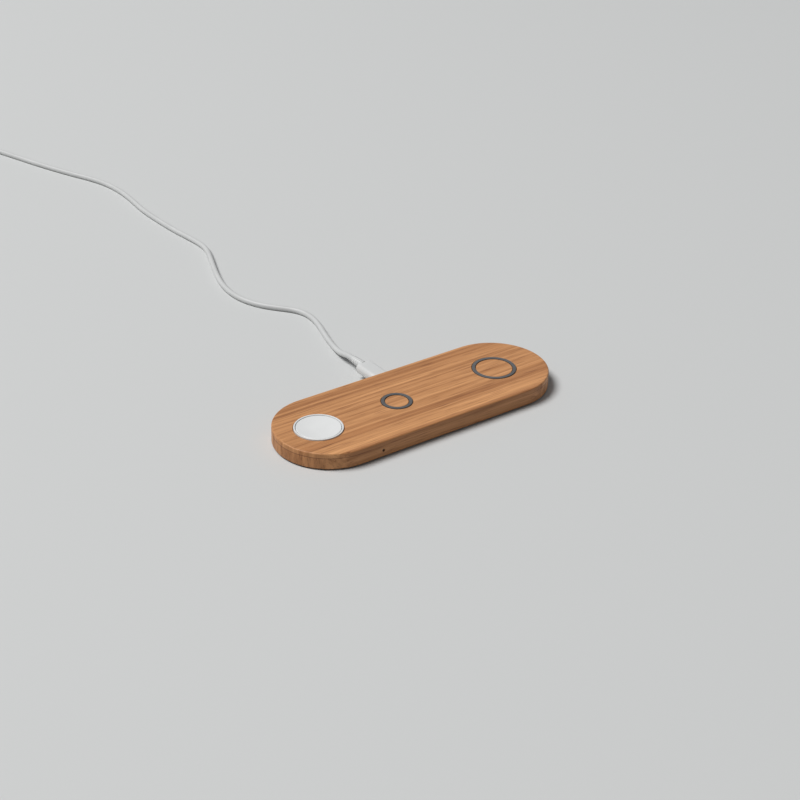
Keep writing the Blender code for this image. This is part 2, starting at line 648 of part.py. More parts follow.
def screws():
    """Six screws that hold the cover, and four that hold the board to its bosses."""
    base = screw_mesh("base_screw", SCREW_HEAD_RADIUS, SCREW_HEAD_HEIGHT, SCREW_SHANK_RADIUS,
                      SCREW_SHANK_LENGTH)
    for i, (x, y) in enumerate(SCREW_PLACES):
        part(f"base_screw_{i + 1}", base, "screw_steel", (x, y, BODY_BOTTOM))
    board = screw_mesh("board_screw", BOARD_HEAD_RADIUS, BOARD_HEAD_HEIGHT, BOARD_SHANK_RADIUS,
                       BOARD_SHANK_LENGTH)
    for i, (x, y) in enumerate(BOSS_PLACES):
        part(f"board_screw_{i + 1}", board, "screw_steel",
             (x, y, BOARD_BOTTOM - CLEARANCE - BOARD_HEAD_HEIGHT))


def grip_rings():
    """Thin silicone rings that keep what is laid on them from sliding."""
    low = BODY_TOP + GRIP_RING_PROUD - GRIP_RING_THICKNESS
    for name, x, radius in (("phone_grip_ring", PHONE_X, PHONE_RING_RADIUS),
                            ("earbuds_grip_ring", EARBUDS_X, EARBUDS_RING_RADIUS)):
        outlines = [circle((0, 0), radius, ROUND_STEPS),
                    circle((0, 0), radius - GRIP_RING_WIDTH, ROUND_STEPS)]
        part(name, plate(name, outlines, low, low + GRIP_RING_THICKNESS), "silicone", (x, 0, 0))


def puck_shell():
    """The puck's ring, whose flange is held under the top, with a hole for the lead."""
    bore, outer, lip = PUCK_BORE, PUCK_RADIUS, PUCK_LIP_RADIUS
    flange_low = COIL_TOP - PUCK_FLANGE_HEIGHT
    profile = [(bore + lip, PUCK_TOP), (outer - lip, PUCK_TOP), (outer, PUCK_TOP - lip), (outer, COIL_TOP),
               (FLANGE_RADIUS, COIL_TOP), (FLANGE_RADIUS, flange_low), (outer, flange_low),
               (outer, PUCK_LID_LOW), (bore, PUCK_LID_LOW), (bore, PUCK_TOP - lip)]
    shell = part("watch_puck_shell", turned("watch_puck_shell", profile, ROUND_STEPS), "white_plastic",
                 (PUCK_X, 0, 0))
    hole = round_bar(LEAD_RADIUS + CLEARANCE, PUCK_INSIDE, outer + OVERRUN, SMALL_ROUND_STEPS)
    cut(shell, cutter("puck_lead_hole", hole, (PUCK_X, 0, PUCK_LEAD_Z), (0, math.pi / 2, 0)))


def puck_face():
    """The dished face, level in its middle and rising to a lip at its edge."""
    rim = PUCK_INSIDE - PUCK_LIP_RADIUS
    shares = [step / DISH_STEPS for step in range(DISH_STEPS + 1)]
    dish = [(FACE_FLAT_RADIUS + (rim - FACE_FLAT_RADIUS) * share,
             FACE_TOP - FACE_DISH_DEPTH * math.cos(share * math.pi / 2)) for share in shares]
    profile = [(0, dish[0][1])] + dish
    profile += [(PUCK_INSIDE, FACE_TOP - PUCK_LIP_RADIUS), (PUCK_INSIDE, FACE_LOW), (0, FACE_LOW)]
    part("watch_puck_face", turned("watch_puck_face", profile, ROUND_STEPS), "white_plastic", (PUCK_X, 0, 0))


def puck_stack():
    """What lies under the face: coil round magnet, ferrite, small board and lid."""
    ring = [circle((0, 0), PUCK_INSIDE, ROUND_STEPS), circle((0, 0), WATCH_COIL_BORE_RADIUS, ROUND_STEPS)]
    coil = plate("watch_coil", ring, PUCK_COIL_LOW, PUCK_COIL_TOP)
    magnet = round_bar(WATCH_COIL_BORE_RADIUS - CLEARANCE, PUCK_COIL_LOW, PUCK_COIL_TOP, ROUND_STEPS)
    part("watch_coil", coil, "copper", (PUCK_X, 0, 0))
    part("watch_magnet", magnet, "magnet", (PUCK_X, 0, 0))
    for name, low, high, finish in (("watch_ferrite", PUCK_FERRITE_LOW, PUCK_FERRITE_TOP, "ferrite"),
                                    ("watch_puck_board", PUCK_BOARD_LOW, PUCK_BOARD_TOP, "circuit_board"),
                                    ("watch_puck_lid", PUCK_LID_LOW, PUCK_LID_TOP, "white_plastic")):
        part(name, round_bar(PUCK_INSIDE, low, high, ROUND_STEPS), finish, (PUCK_X, 0, 0))


def lead_wires(name, start, fall, end, height):
    """The sleeved pair of wires from a coil, level to where it falls, then down to lie on the board."""
    steps = round(abs(end - start) / LEAD_SPACING) + 1
    route = np.zeros((steps, 3))
    route[:, 0] = np.linspace(start, end, steps)
    share = np.clip((route[:, 0] - fall) / (end - fall), 0, 1)
    route[:, 2] = height + (SOLDER_TOP + LEAD_RADIUS - height) * share ** 2 * (3 - 2 * share)
    tube(name, route, LEAD_RADIUS, 1, "insulator")


def watch_puck():
    """The whole magnetic puck and its wires to the main board."""
    puck_shell()
    puck_face()
    puck_stack()
    start = PUCK_X + PUCK_INSIDE + CLEARANCE
    past = PUCK_X + PUCK_RADIUS + LEAD_RADIUS
    end = BOARD_LEFT + LEAD_RADIUS + BOARD_SIDE_GAP
    lead_wires("watch_coil_lead", start, past, end, PUCK_LEAD_Z)


def flat_coil(name, x, radius, bore_radius, side):
    """A flat coil under the top, the ferrite below it, and the lead down to the board."""
    ring = [circle((0, 0), radius, ROUND_STEPS), circle((0, 0), bore_radius, ROUND_STEPS)]
    part(name + "_coil", plate(name + "_coil", ring, COIL_BOTTOM, COIL_TOP), "copper", (x, 0, 0))
    ferrite = round_bar(radius + FERRITE_OVERHANG, FERRITE_TOP - FERRITE_THICKNESS, FERRITE_TOP, ROUND_STEPS)
    part(name + "_ferrite", ferrite, "ferrite", (x, 0, 0))
    lead_z = (COIL_BOTTOM + COIL_TOP) / 2
    start = x + side * (radius + CLEARANCE)
    past = x + side * (radius + FERRITE_OVERHANG + LEAD_RADIUS)
    end = past + side * LEAD_DROP
    if side < 0:
        end = min(end, BOARD_RIGHT - LEAD_RADIUS - BOARD_SIDE_GAP)
    lead_wires(name + "_coil_lead", start, past, end, lead_z)


def main_board():
    """The circuit board, whose tab carries the socket at the back edge."""
    tab, edge = BOARD_TAB_WIDTH / 2, BOARD_EDGE
    tab_end = edge + BOARD_TAB_LENGTH
    outline = [(BOARD_LEFT, -edge), (BOARD_RIGHT, -edge), (BOARD_RIGHT, edge), (tab, edge),
               (tab, tab_end), (-tab, tab_end), (-tab, edge), (BOARD_LEFT, edge)]
    holes = [circle(place, BOARD_HOLE_RADIUS, SMALL_ROUND_STEPS) for place in BOSS_PLACES]
    part("main_board", plate("main_board", [outline] + holes, BOARD_BOTTOM, BOARD_TOP), "circuit_board")


# Places on the board, along it and across it, as shares of its length and of half its width
COMPONENT_PLACE_SHARES = {
    "controller_chip": (0.0, 0.0),
    "phone_driver_chip": (0.40, 0.35),
    "earbuds_driver_chip": (-0.02, -0.45),
    "watch_driver_chip": (-0.36, 0.30),
    "phone_capacitor": (0.27, 0.35),
    "earbuds_capacitor": (-0.16, -0.80),
    "watch_capacitor": (-0.36, -0.30),
}


def component(name, size, finish, x, across_share):
    """One block standing on the board, at a share of the board's half width from its middle."""
    return part(name, block(size), finish, (x, across_share * BOARD_EDGE, SOLDER_TOP + size[2] / 2))


def components():
    """Chips, capacitors and the inductor, each standing on the board."""
    sizes = {"controller_chip": CONTROLLER_SIZE, "driver_chip": DRIVER_SIZE, "capacitor": CAPACITOR_SIZE}
    for name, (along_share, across_share) in COMPONENT_PLACE_SHARES.items():
        size = next(size for kind, size in sizes.items() if name.endswith(kind))
        finish = "chip" if name.endswith("chip") else "ceramic"
        component(name, size, finish, BOARD_MIDDLE + along_share * BOARD_LENGTH, across_share)
    inductor = component("power_inductor", INDUCTOR_SIZE, "ferrite", BOARD_RIGHT - INDUCTOR_FROM_END,
                         INDUCTOR_ACROSS_SHARE)
    bevel(inductor, INDUCTOR_CORNER, SMALL_EDGE_STEPS)


def status_light():
    """The light on the board's front edge and the clear pipe that carries it out."""
    place = (LED_X, LED_SIZE[1] / 2 - BOARD_EDGE, SOLDER_TOP + LED_SIZE[2] / 2)
    part("status_led", block(LED_SIZE), "lens", place)
    pipe = round_bar(LIGHT_PIPE_RADIUS, BOARD_EDGE + CLEARANCE, BODY_RADIUS - LIGHT_PIPE_RECESS,
                     SMALL_ROUND_STEPS)
    part("light_pipe", pipe, "lens", (LED_X, 0, BODY_BOTTOM + LED_HEIGHT), UPRIGHT)


def socket():
    """The USB-C socket: a shell closed at the back, and the tongue inside it."""
    block_mesh = plate("usb_c_socket", [racetrack(SOCKET_WIDTH, SOCKET_HEIGHT)], -SOCKET_MOUTH, -SOCKET_REAR)
    shell = part("usb_c_socket", block_mesh, "connector_steel", (0, 0, PORT_Z), UPRIGHT)
    inside = racetrack(SOCKET_WIDTH - 2 * SOCKET_WALL, SOCKET_HEIGHT - 2 * SOCKET_WALL)
    hollow = plate("socket_hollow", [inside], -SOCKET_MOUTH - OVERRUN, -SOCKET_REAR - SOCKET_BACK)
    cut(shell, cutter("socket_hollow", hollow, (0, 0, PORT_Z), UPRIGHT))
    width = PLUG_WIDTH - 2 * (PLUG_WALL + 2 * RUNNING_CLEARANCE)
    root = SOCKET_REAR + SOCKET_BACK + CLEARANCE
    part("socket_tongue", block((width, TONGUE_LENGTH, TONGUE_THICKNESS)), "insulator",
         (0, root + TONGUE_LENGTH / 2, PORT_Z))


def relief_mesh(name, start_radius, length, grooves):
    """A tapered sleeve with grooves round it, wide end at zero height."""
    end_radius = CORD_RADIUS + RELIEF_WALL
    stations = [(length * (1 - i / (2 * grooves + 1)), i) for i in range(2 * grooves + 2)]
    profile = [(0, length)]
    for (height, i), (lower, _) in zip(stations, stations[1:]):
        depth = RELIEF_GROOVE if i % 2 else 0
        for z in (height, lower):
            profile.append((end_radius + (start_radius - end_radius) * (1 - z / length) - depth, z))
    return turned(name, profile + [(0, 0)], SMALL_ROUND_STEPS)


def usb_c_plug():
    """The plug's steel shell, its moulded grip and the strain relief behind it."""
    outlines = [racetrack(PLUG_WIDTH, PLUG_HEIGHT),
                racetrack(PLUG_WIDTH - 2 * PLUG_WALL, PLUG_HEIGHT - 2 * PLUG_WALL)]
    shell = plate("usb_c_plug_shell", outlines, CLEARANCE - PLUG_FACE, -PLUG_TIP)
    pieces = [part("usb_c_plug_shell", shell, "connector_steel", (0, 0, PORT_Z), UPRIGHT)]
    outline = rounded_rectangle(PLUG_GRIP_WIDTH, PLUG_GRIP_HEIGHT, PLUG_GRIP_CORNER)
    grip = plate("usb_c_plug_grip", [outline], -PLUG_GRIP_END, -PLUG_FACE)
    pieces.append(part("usb_c_plug_grip", grip, "white_plastic", (0, 0, PORT_Z), UPRIGHT))
    bevel(pieces[-1], PLUG_GRIP_EDGE, EDGE_STEPS)
    relief = relief_mesh("usb_c_strain_relief", PLUG_RELIEF_RADIUS, PLUG_RELIEF_LENGTH, RELIEF_GROOVES)
    pieces.append(part("usb_c_strain_relief", relief, "white_plastic",
                       (0, PLUG_GRIP_END + CLEARANCE, PORT_Z), (-math.pi / 2, 0, 0)))
    return pieces


def coil_heading(turns):
    """Place on the coil's circle of radius one, and the way the cord runs there."""
    angle = COIL_START_ANGLE + 2 * math.pi * turns
    return np.array((math.cos(angle), math.sin(angle), 0)), np.array((-math.sin(angle), math.cos(angle), 0))


def coil_point(turns):
    """A point of the coil: in on the lower layer, out again on the upper one."""
    past_middle = turns - COIL_TURNS / 2
    radius = COIL_INNER_RADIUS + COIL_PITCH * abs(past_middle)
    climb = min(1, max(0, past_middle / COIL_CLIMB_TURNS + 1 / 2))
    height = CORD_RADIUS + COIL_PITCH * climb * climb * (3 - 2 * climb)
    from_tie = turns - TIE_TURN
    away = abs(from_tie - round(from_tie)) * 2 * math.pi
    if away < COIL_LIFT_ANGLE:
        lift = TIE_THICKNESS + TIE_CLEARANCE
        height += lift * (1 + math.cos(math.pi * away / COIL_LIFT_ANGLE)) / 2
    outward, _ = coil_heading(turns)
    return np.array((*COIL_CENTRE, height)) + radius * outward


def coil_line():
    """The whole centre line of the coil, straight for one diameter at both ends."""
    count = round(COIL_TURNS * COIL_TURN_POINTS)
    line = [coil_point(i / COIL_TURN_POINTS) for i in range(count + 1)]
    first = line[0] - CORD_DIAMETER * coil_heading(0)[1]
    last = line[-1] + CORD_DIAMETER * coil_heading(COIL_TURNS)[1]
    return np.array([first] + line + [last])


def least_gap(line):
    """The least gap between stretches of the coil at least half a turn apart."""
    apart = np.linalg.norm(line[:, None] - line[None], axis=2)
    order = np.arange(len(line))
    far = abs(order[:, None] - order[None]) >= COIL_TURN_POINTS // 2
    return apart[far].min() - CORD_DIAMETER


def laid(route, spacing):
    """A smooth run of cord whose underside is never below the table."""
    line, length = smooth_curve(route, spacing)
    line[:, 2] = np.maximum(line[:, 2], CORD_RADIUS)
    return line, length


def cord_pieces():
    """The free cord, its coil, and the short tail to the second plug."""
    coil = coil_line()
    heading_in = coil_heading(0)[1]
    heading_out = coil_heading(COIL_TURNS)[1]
    start = np.array((0, PLUG_RELIEF_END + CLEARANCE, PORT_Z))
    arrival = coil[0] - CLEARANCE * heading_in
    heights = CORD_DROP_HEIGHTS + (CORD_RADIUS,) * (len(CORD_ROUTE) - len(CORD_DROP_HEIGHTS))
    route = [start, start + (0, CORD_DIAMETER, 0)] + [(x, y, z) for (x, y), z in zip(CORD_ROUTE, heights)]
    route += [arrival - CORD_DIAMETER * heading_in, arrival]
    line, length = laid(route, CORD_SPACING)
    departure = coil[-1] + CLEARANCE * heading_out
    grip_z = USB_A_GRIP_SIZE[2] / 2
    end = np.array((*TAIL_END, grip_z))
    tail_route = [departure, departure + CORD_DIAMETER * heading_out,
                  (*TAIL_MIDDLE, (departure[2] + grip_z) / 2), end + (0, CORD_DIAMETER, 0), end]
    tail, tail_length = laid(tail_route, CORD_DIAMETER)
    coil_length = np.linalg.norm(np.diff(coil, axis=0), axis=1).sum()
    print(f"cord: {length:.4f} m free, {coil_length:.4f} m in the coil, {tail_length:.4f} m of tail")
    print(f"cord: {len(line)} points, the coil's least gap to itself is {least_gap(coil) / MM:.2f} mm")
    return [tube("cord", line, CORD_RADIUS, 2, "white_cord"),
            tube("cord_coil", coil, CORD_RADIUS, 1, "white_cord"),
            tube("cord_tail", tail, CORD_RADIUS, 2, "white_cord")]


def cord_tie():
    """A strap round all the turns, whose free end stands out from its top corner."""
    passes = range(int(COIL_TURNS - TIE_TURN) + 1)
    radii = [COIL_INNER_RADIUS + COIL_PITCH * abs(TIE_TURN + k - COIL_TURNS / 2) for k in passes]
    half_width = (max(radii) - min(radii)) / 2 + CORD_RADIUS + TIE_CLEARANCE
    half_height = COIL_PITCH / 2 + CORD_RADIUS + TIE_CLEARANCE
    corner = CORD_RADIUS + TIE_CLEARANCE
    inner = rounded_rectangle(2 * half_width, 2 * half_height, corner)
    across, up = half_width + TIE_THICKNESS, half_height + TIE_THICKNESS
    outer = rounded_rectangle(2 * across, 2 * up, corner + TIE_THICKNESS)[CORNER_STEPS + 1:]
    tab = [(across, up - TIE_THICKNESS), (across + TIE_TAB_LENGTH, up - TIE_THICKNESS),
           (across + TIE_TAB_LENGTH, up)]
    mesh = plate("cord_tie", [outer + tab, inner], -TIE_WIDTH / 2, TIE_WIDTH / 2)
    outward, _ = coil_heading(TIE_TURN)
    middle = np.array((*COIL_CENTRE, up)) + outward * (max(radii) + min(radii)) / 2
    angle = COIL_START_ANGLE + 2 * math.pi * TIE_TURN
    return part("cord_tie", mesh, "silicone", middle, (math.pi / 2, 0, angle))


def usb_a_plug():
    """The second plug: strain relief, moulded grip, and a steel shell round its tongue."""
    x, z = TAIL_END[0], USB_A_GRIP_SIZE[2] / 2
    relief_end = TAIL_END[1] - CLEARANCE - USB_A_RELIEF_LENGTH
    grip_back = relief_end - CLEARANCE
    grip_front = grip_back - USB_A_GRIP_SIZE[1]
    shell_back = grip_front - CLEARANCE
    relief = relief_mesh("usb_a_strain_relief", USB_A_RELIEF_RADIUS, USB_A_RELIEF_LENGTH, RELIEF_GROOVES)
    pieces = [part("usb_a_strain_relief", relief, "white_plastic", (x, relief_end, z), (-math.pi / 2, 0, 0))]
    outline = rounded_rectangle(USB_A_GRIP_SIZE[0], USB_A_GRIP_SIZE[2], USB_A_GRIP_CORNER)
    grip = plate("usb_a_grip", [outline], 0, USB_A_GRIP_SIZE[1])
    pieces.append(part("usb_a_grip", grip, "white_plastic", (x, grip_back, z), UPRIGHT))
    bevel(pieces[-1], USB_A_GRIP_EDGE, EDGE_STEPS)
    inside = (USB_A_SHELL_WIDTH - 2 * USB_A_SHELL_WALL, USB_A_SHELL_HEIGHT - 2 * USB_A_SHELL_WALL)
    outlines = [rounded_rectangle(USB_A_SHELL_WIDTH, USB_A_SHELL_HEIGHT, USB_A_SHELL_CORNER),
                rounded_rectangle(*inside, USB_A_SHELL_CORNER - USB_A_SHELL_WALL)]
    shell = part("usb_a_shell", plate("usb_a_shell", outlines, 0, USB_A_SHELL_LENGTH), "connector_steel",
                 (x, shell_back, z), UPRIGHT)
    pieces.append(shell)
    window_y = shell_back - USB_A_SHELL_LENGTH / 2
    for side in (-1, 1):
        window = block((USB_A_WINDOW, USB_A_WINDOW, USB_A_SHELL_HEIGHT + OVERRUN))
        cut(shell, cutter("shell_window", window, (x + side * USB_A_WINDOW_SPREAD / 2, window_y, z)))
    tongue = block((inside[0] - 2 * CLEARANCE, USB_A_TONGUE_LENGTH, USB_A_TONGUE_THICKNESS))
    tongue_z = z - inside[1] / 2 + CLEARANCE + USB_A_TONGUE_THICKNESS / 2
    pieces.append(part("usb_a_tongue", tongue, "white_plastic",
                       (x, shell_back - USB_A_TONGUE_LENGTH / 2, tongue_z)))
    return pieces


def cord_set():
    """Everything that moves with the plug, under an empty on the line it is pulled along."""
    slide = bpy.data.objects.new("plug_pull", None)
    PARTS.objects.link(slide)
    slide.location = (0, BODY_RADIUS, PORT_Z)
    bpy.context.view_layer.update()
    for piece in usb_c_plug() + cord_pieces() + [cord_tie()] + usb_a_plug():
        piece.parent = slide
        piece.matrix_parent_inverse = slide.matrix_world.inverted()


def charging_station():
    """The whole object, from the table up and then along its cord."""
    bamboo_body()
    base_cover()
    feet()
    screws()
    grip_rings()
    watch_puck()
    flat_coil("earbuds", EARBUDS_X, EARBUDS_COIL_RADIUS, EARBUDS_COIL_BORE_RADIUS, 1)
    flat_coil("phone", PHONE_X, PHONE_COIL_RADIUS, PHONE_COIL_BORE_RADIUS, -1)
    main_board()
    components()
    status_light()
    socket()
    cord_set()
    bpy.context.view_layer.update()


charging_station()
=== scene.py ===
# %% [markdown]
# # A bamboo charging station with its white lead
#
# The station is a flat slab of bamboo with a half-round end at each side. A watch puck is
# let into the top near the left end, two thin grip rings mark the other two charging places,
# and a white USB lead is plugged into the back edge. The solid model was made first and is
# loaded here as a fixed frame. This script gives every piece its finish, and draws the
# pieces again wherever the plain solid is too coarse for a close look.

import math

import bpy
import numpy as np
from mathutils import Matrix, Vector


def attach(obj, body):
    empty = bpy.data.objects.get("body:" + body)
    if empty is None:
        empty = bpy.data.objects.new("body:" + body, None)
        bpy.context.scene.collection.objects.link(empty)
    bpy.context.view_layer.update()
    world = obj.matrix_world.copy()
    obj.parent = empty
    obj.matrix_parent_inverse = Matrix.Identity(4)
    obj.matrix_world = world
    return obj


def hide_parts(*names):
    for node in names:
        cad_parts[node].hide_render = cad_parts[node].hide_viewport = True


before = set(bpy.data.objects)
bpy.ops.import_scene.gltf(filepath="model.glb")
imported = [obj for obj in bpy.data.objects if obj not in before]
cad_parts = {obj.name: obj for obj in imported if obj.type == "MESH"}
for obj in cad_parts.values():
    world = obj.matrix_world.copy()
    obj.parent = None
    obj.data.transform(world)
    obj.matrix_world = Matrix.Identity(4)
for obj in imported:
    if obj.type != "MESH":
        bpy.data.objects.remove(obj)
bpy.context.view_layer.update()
MM = 0.001

# %% [markdown]
# ## The camera
#
# The photographer stood in front of the station, to its left and well above it, with a long
# lens. A long lens keeps the two edges of the slab almost parallel. The camera's place, its
# way to the right and its way forward were solved from edges of known size in the
# photograph, so they are written down as they are. A camera looks along its own -Z, with +Y
# up, so the way up is square to both.

# %% Camera
CAMERA_PLACE = Vector((-0.5319, -0.7115, 0.5145))
CAMERA_RIGHT = Vector((0.8122, -0.5831, 0.0182))
CAMERA_FORWARD = Vector((0.5137, 0.7001, -0.4960))
SENSOR_WIDTH, LENS = 36, 80.775
CLIP_START, CLIP_END = 0.01, 60

right = (CAMERA_RIGHT - CAMERA_RIGHT.project(CAMERA_FORWARD)).normalized()
back = -CAMERA_FORWARD.normalized()
up = back.cross(right)
turn = Matrix((right, up, back)).transposed().to_4x4()

camera_data = bpy.data.cameras.new("photo_camera")
camera_data.sensor_width = SENSOR_WIDTH
camera_data.lens = LENS
camera_data.clip_start = CLIP_START
camera_data.clip_end = CLIP_END
camera = bpy.data.objects.new("photo_camera", camera_data)
camera.matrix_world = Matrix.Translation(CAMERA_PLACE) @ turn
bpy.context.scene.collection.objects.link(camera)
bpy.context.scene.camera = camera
print("camera stands", round(CAMERA_PLACE.length, 3), "m from the middle of the slab")

# %% [markdown]
# ## Surfaces as tables of points
#
# Nearly every new piece below is a grid: rows of points, each row as long as the next. Two
# neighbouring rows make a band of four-sided faces. If the last column is joined to the
# first, the grid is a tube, and a face over each end closes it. So a shape needs only one
# formula that fills the table, and this helper turns the table into a mesh.

# %% Helpers that make a mesh from a grid
SHARP_ANGLE = math.radians(24)


def grid_faces(rows, columns, loop_rows=False):
    """The four corners of every face between neighbouring rows, the columns running round.

    Face (i, j) has the corners (i, j), (i, j + 1), (i + 1, j + 1) and (i + 1, j).
    """
    i, j = np.meshgrid(np.arange(rows if loop_rows else rows - 1), np.arange(columns), indexing="ij")
    below, after = (i + 1) % rows, (j + 1) % columns
    corners = (i * columns + j, i * columns + after, below * columns + after, below * columns + j)
    return np.stack([corner.ravel() for corner in corners], axis=1)


def volume(mesh):
    """Sum of the small pyramids between the faces and the origin: above nought if faces look out."""
    mesh.calc_loop_triangles()
    corners = np.empty(len(mesh.loop_triangles) * 3, int)
    mesh.loop_triangles.foreach_get("vertices", corners)
    points = np.empty(len(mesh.vertices) * 3)
    mesh.vertices.foreach_get("co", points)
    a, b, c = points.reshape(-1, 3)[corners].reshape(-1, 3, 3).transpose(1, 0, 2)
    return np.einsum("ij,ij->i", a, np.cross(b, c)).sum() / 6


def mesh_piece(name, points, faces, body):
    """A smooth-shaded object of these points and faces, its faces turned outwards.

    It moves with the body of that name. A tool that only cuts others has no body.
    """
    mesh = bpy.data.meshes.new(name)
    mesh.from_pydata(points.tolist(), [], faces)
    if volume(mesh) < 0:
        mesh.flip_normals()
    mesh.shade_smooth()
    mesh.set_sharp_from_angle(angle=SHARP_ANGLE)
    piece = bpy.data.objects.new(name, mesh)
    bpy.context.scene.collection.objects.link(piece)
    if body:
        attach(piece, body)
    return piece


def closed_tube(name, grid, body="station", loop=False):
    """A grid whose columns run round. Its ends get a face each, or its last row joins its first."""
    rows, columns = grid.shape[:2]
    faces = grid_faces(rows, columns, loop).tolist()
    if not loop:
        faces.append(list(range(columns))[::-1])
        faces.append(list(range((rows - 1) * columns, rows * columns)))
    return mesh_piece(name, grid.reshape(-1, 3), faces, body)


# %% [markdown]
# ## The lead's route
#
# The lead leaves the back edge in its plug, drops to the table within a few centimetres and
# wanders off in loose curves. Its far part is wound into a neat flat coil for storage. The
# route is a short list of points, and a natural cubic spline runs through all of them: it
# bends as a springy strip would, so the curves come out as smooth as a real cord's.

# %% Route of the lead
CORD_DIAMETER = 3.5 * MM
CORD_RADIUS = CORD_DIAMETER / 2
RELIEF_END = 0.0606
PORT_HEIGHT = 0.0064
ROUTE_STEP = 1.2 * MM
COMING_DOWN = [(0.0006, 0.0735, 0.0043), (0.0022, 0.0810, 0.0026), (0.0040, 0.0885, 0.0018)]
ON_THE_TABLE = [
    (0.0068, 0.0995), (0.0112, 0.1140), (0.0138, 0.1275), (0.0120, 0.1390), (0.0045, 0.1495),
    (-0.0040, 0.1610), (-0.0093, 0.1760), (-0.0088, 0.1960), (-0.0018, 0.2190), (0.0061, 0.2390),
    (0.0104, 0.2530), (0.0105, 0.2660), (0.0082, 0.2850), (0.0065, 0.3080), (0.0062, 0.3330),
    (0.0081, 0.3560), (0.0080, 0.3750), (0.0037, 0.3957), (-0.0043, 0.4144), (-0.0122, 0.4330),
    (-0.0190, 0.4510), (-0.0252, 0.4690), (-0.0315, 0.4870),
]
LOOSE_ROUTE = np.array(COMING_DOWN + [(x, y, CORD_RADIUS) for x, y in ON_THE_TABLE])
COIL_CENTRE = np.array((-0.062, 0.505))
COIL_START = math.radians(15)
COIL_TURNS = 3.5
COIL_STEPS = 384
COIL_INNER_RADIUS = 16.5 * MM
COIL_PITCH = CORD_DIAMETER + 0.5 * MM
TIE_TURN = 0.25
TIE_LIFT = 1.3 * MM
TIE_LIFT_ANGLE = math.radians(60)
TAIL_MIDDLE = (-0.0827, 0.4825, 0.0049)
TAIL_END = np.array((-0.0836, 0.470, 0.004))


def coil_points(turns):
    """Flat spiral in, a smooth step up of one pitch, and the same spiral out again.

    The radius falls by a pitch a turn up to the middle of the coil and grows again after
    it. The height follows 3c^2 - 2c^3 for c from nought to one around the middle turn, and
    rises in one raised cosine where the tie's strap runs underneath.
    """
    angle = COIL_START + 2 * np.pi * turns
    radius = COIL_INNER_RADIUS + COIL_PITCH * abs(turns - COIL_TURNS / 2)
    climb = np.clip((turns - COIL_TURNS / 2) * 2 + 0.5, 0, 1)
    away = abs((turns - TIE_TURN + 0.5) % 1 - 0.5) * 2 * np.pi
    hump = np.where(away < TIE_LIFT_ANGLE, (1 + np.cos(np.pi * away / TIE_LIFT_ANGLE)) / 2, 0)
    height = CORD_RADIUS + COIL_PITCH * climb ** 2 * (3 - 2 * climb) + TIE_LIFT * hump
    x = COIL_CENTRE[0] + radius * np.cos(angle)
    y = COIL_CENTRE[1] + radius * np.sin(angle)
    return np.column_stack((x, y, height))


FINE_STEPS = 60


def spline(knot_points, spacing):
    """The natural cubic spline through the points, cut into even steps of about the spacing.

    Between two knots a point is the straight blend of both, plus (a^3 - a) and (b^3 - b)
    times the curve's bend at each end. The bends solve one small system of equations.
    """
    knots = np.concatenate(([0], np.cumsum(np.linalg.norm(np.diff(knot_points, axis=0), axis=1))))
    step = np.diff(knots)
    slope = np.diff(knot_points, axis=0) / step[:, None]
    system = np.diag(np.concatenate(([1], 2 * (step[1:] + step[:-1]), [1])))
    inner = np.arange(1, len(knots) - 1)
    system[inner, inner - 1] = step[:-1]
    system[inner, inner + 1] = step[1:]
    pull = np.zeros_like(knot_points)
    pull[1:-1] = 6 * np.diff(slope, axis=0)
    bend = np.linalg.solve(system, pull)
    at = np.linspace(0, knots[-1], FINE_STEPS * len(knots))
    i = np.clip(np.searchsorted(knots, at, side="right") - 1, 0, len(step) - 1)
    h = step[i][:, None]
    b = ((at - knots[i]) / step[i])[:, None]
    a = 1 - b
    fine = a * knot_points[i] + b * knot_points[i + 1]
    fine += ((a ** 3 - a) * bend[i] + (b ** 3 - b) * bend[i + 1]) * h ** 2 / 6
    return evenly(fine, spacing)


def evenly(line, spacing):
    """The same line, with its points moved along it to even steps."""
    run = np.concatenate(([0], np.cumsum(np.linalg.norm(np.diff(line, axis=0), axis=1))))
    wanted = np.linspace(0, run[-1], max(2, round(run[-1] / spacing)) + 1)
    return np.column_stack([np.interp(wanted, run, line[:, k]) for k in range(3)])


coil = coil_points(np.linspace(0, COIL_TURNS, COIL_STEPS))
heading_in = np.array((-math.sin(COIL_START), math.cos(COIL_START), 0))
end_angle = COIL_START + 2 * math.pi * COIL_TURNS
heading_out = np.array((-math.sin(end_angle), math.cos(end_angle), 0))
start = np.array((0, RELIEF_END, PORT_HEIGHT))
into_coil = coil[0] - CORD_DIAMETER * heading_in
out_of_coil = coil[-1] + CORD_DIAMETER * heading_out
loose = spline(np.vstack((start, start + (0, CORD_DIAMETER, 0), LOOSE_ROUTE,
                          into_coil - CORD_DIAMETER * heading_in, into_coil)), ROUTE_STEP)
tail = spline(np.vstack((out_of_coil, out_of_coil + CORD_DIAMETER * heading_out, TAIL_MIDDLE,
                         TAIL_END + (0, CORD_DIAMETER, 0), TAIL_END)), ROUTE_STEP)
route = evenly(np.vstack((loose[:-1], coil, tail[1:])), ROUTE_STEP)
route[:, 2] = np.maximum(route[:, 2], CORD_RADIUS)

# %% [markdown]
# ## A finish is a small tree of nodes
#
# No real surface has one flat colour. A noise pattern moves the colour a little, another one
# moves the roughness, and a third one pushes the light about as tiny bumps. These helpers
# add such patterns to a material. All of them read Object coordinates, which are metres
# here, so a scale of 1000 means one blotch a millimetre, whatever the piece's own size.

# %% Helpers for finishes
NOISE_LOW, NOISE_HIGH = 0.3, 0.7
MIX_SHARE, MIX_DARK, MIX_LIGHT, MIX_COLOUR = 0, 6, 7, 2


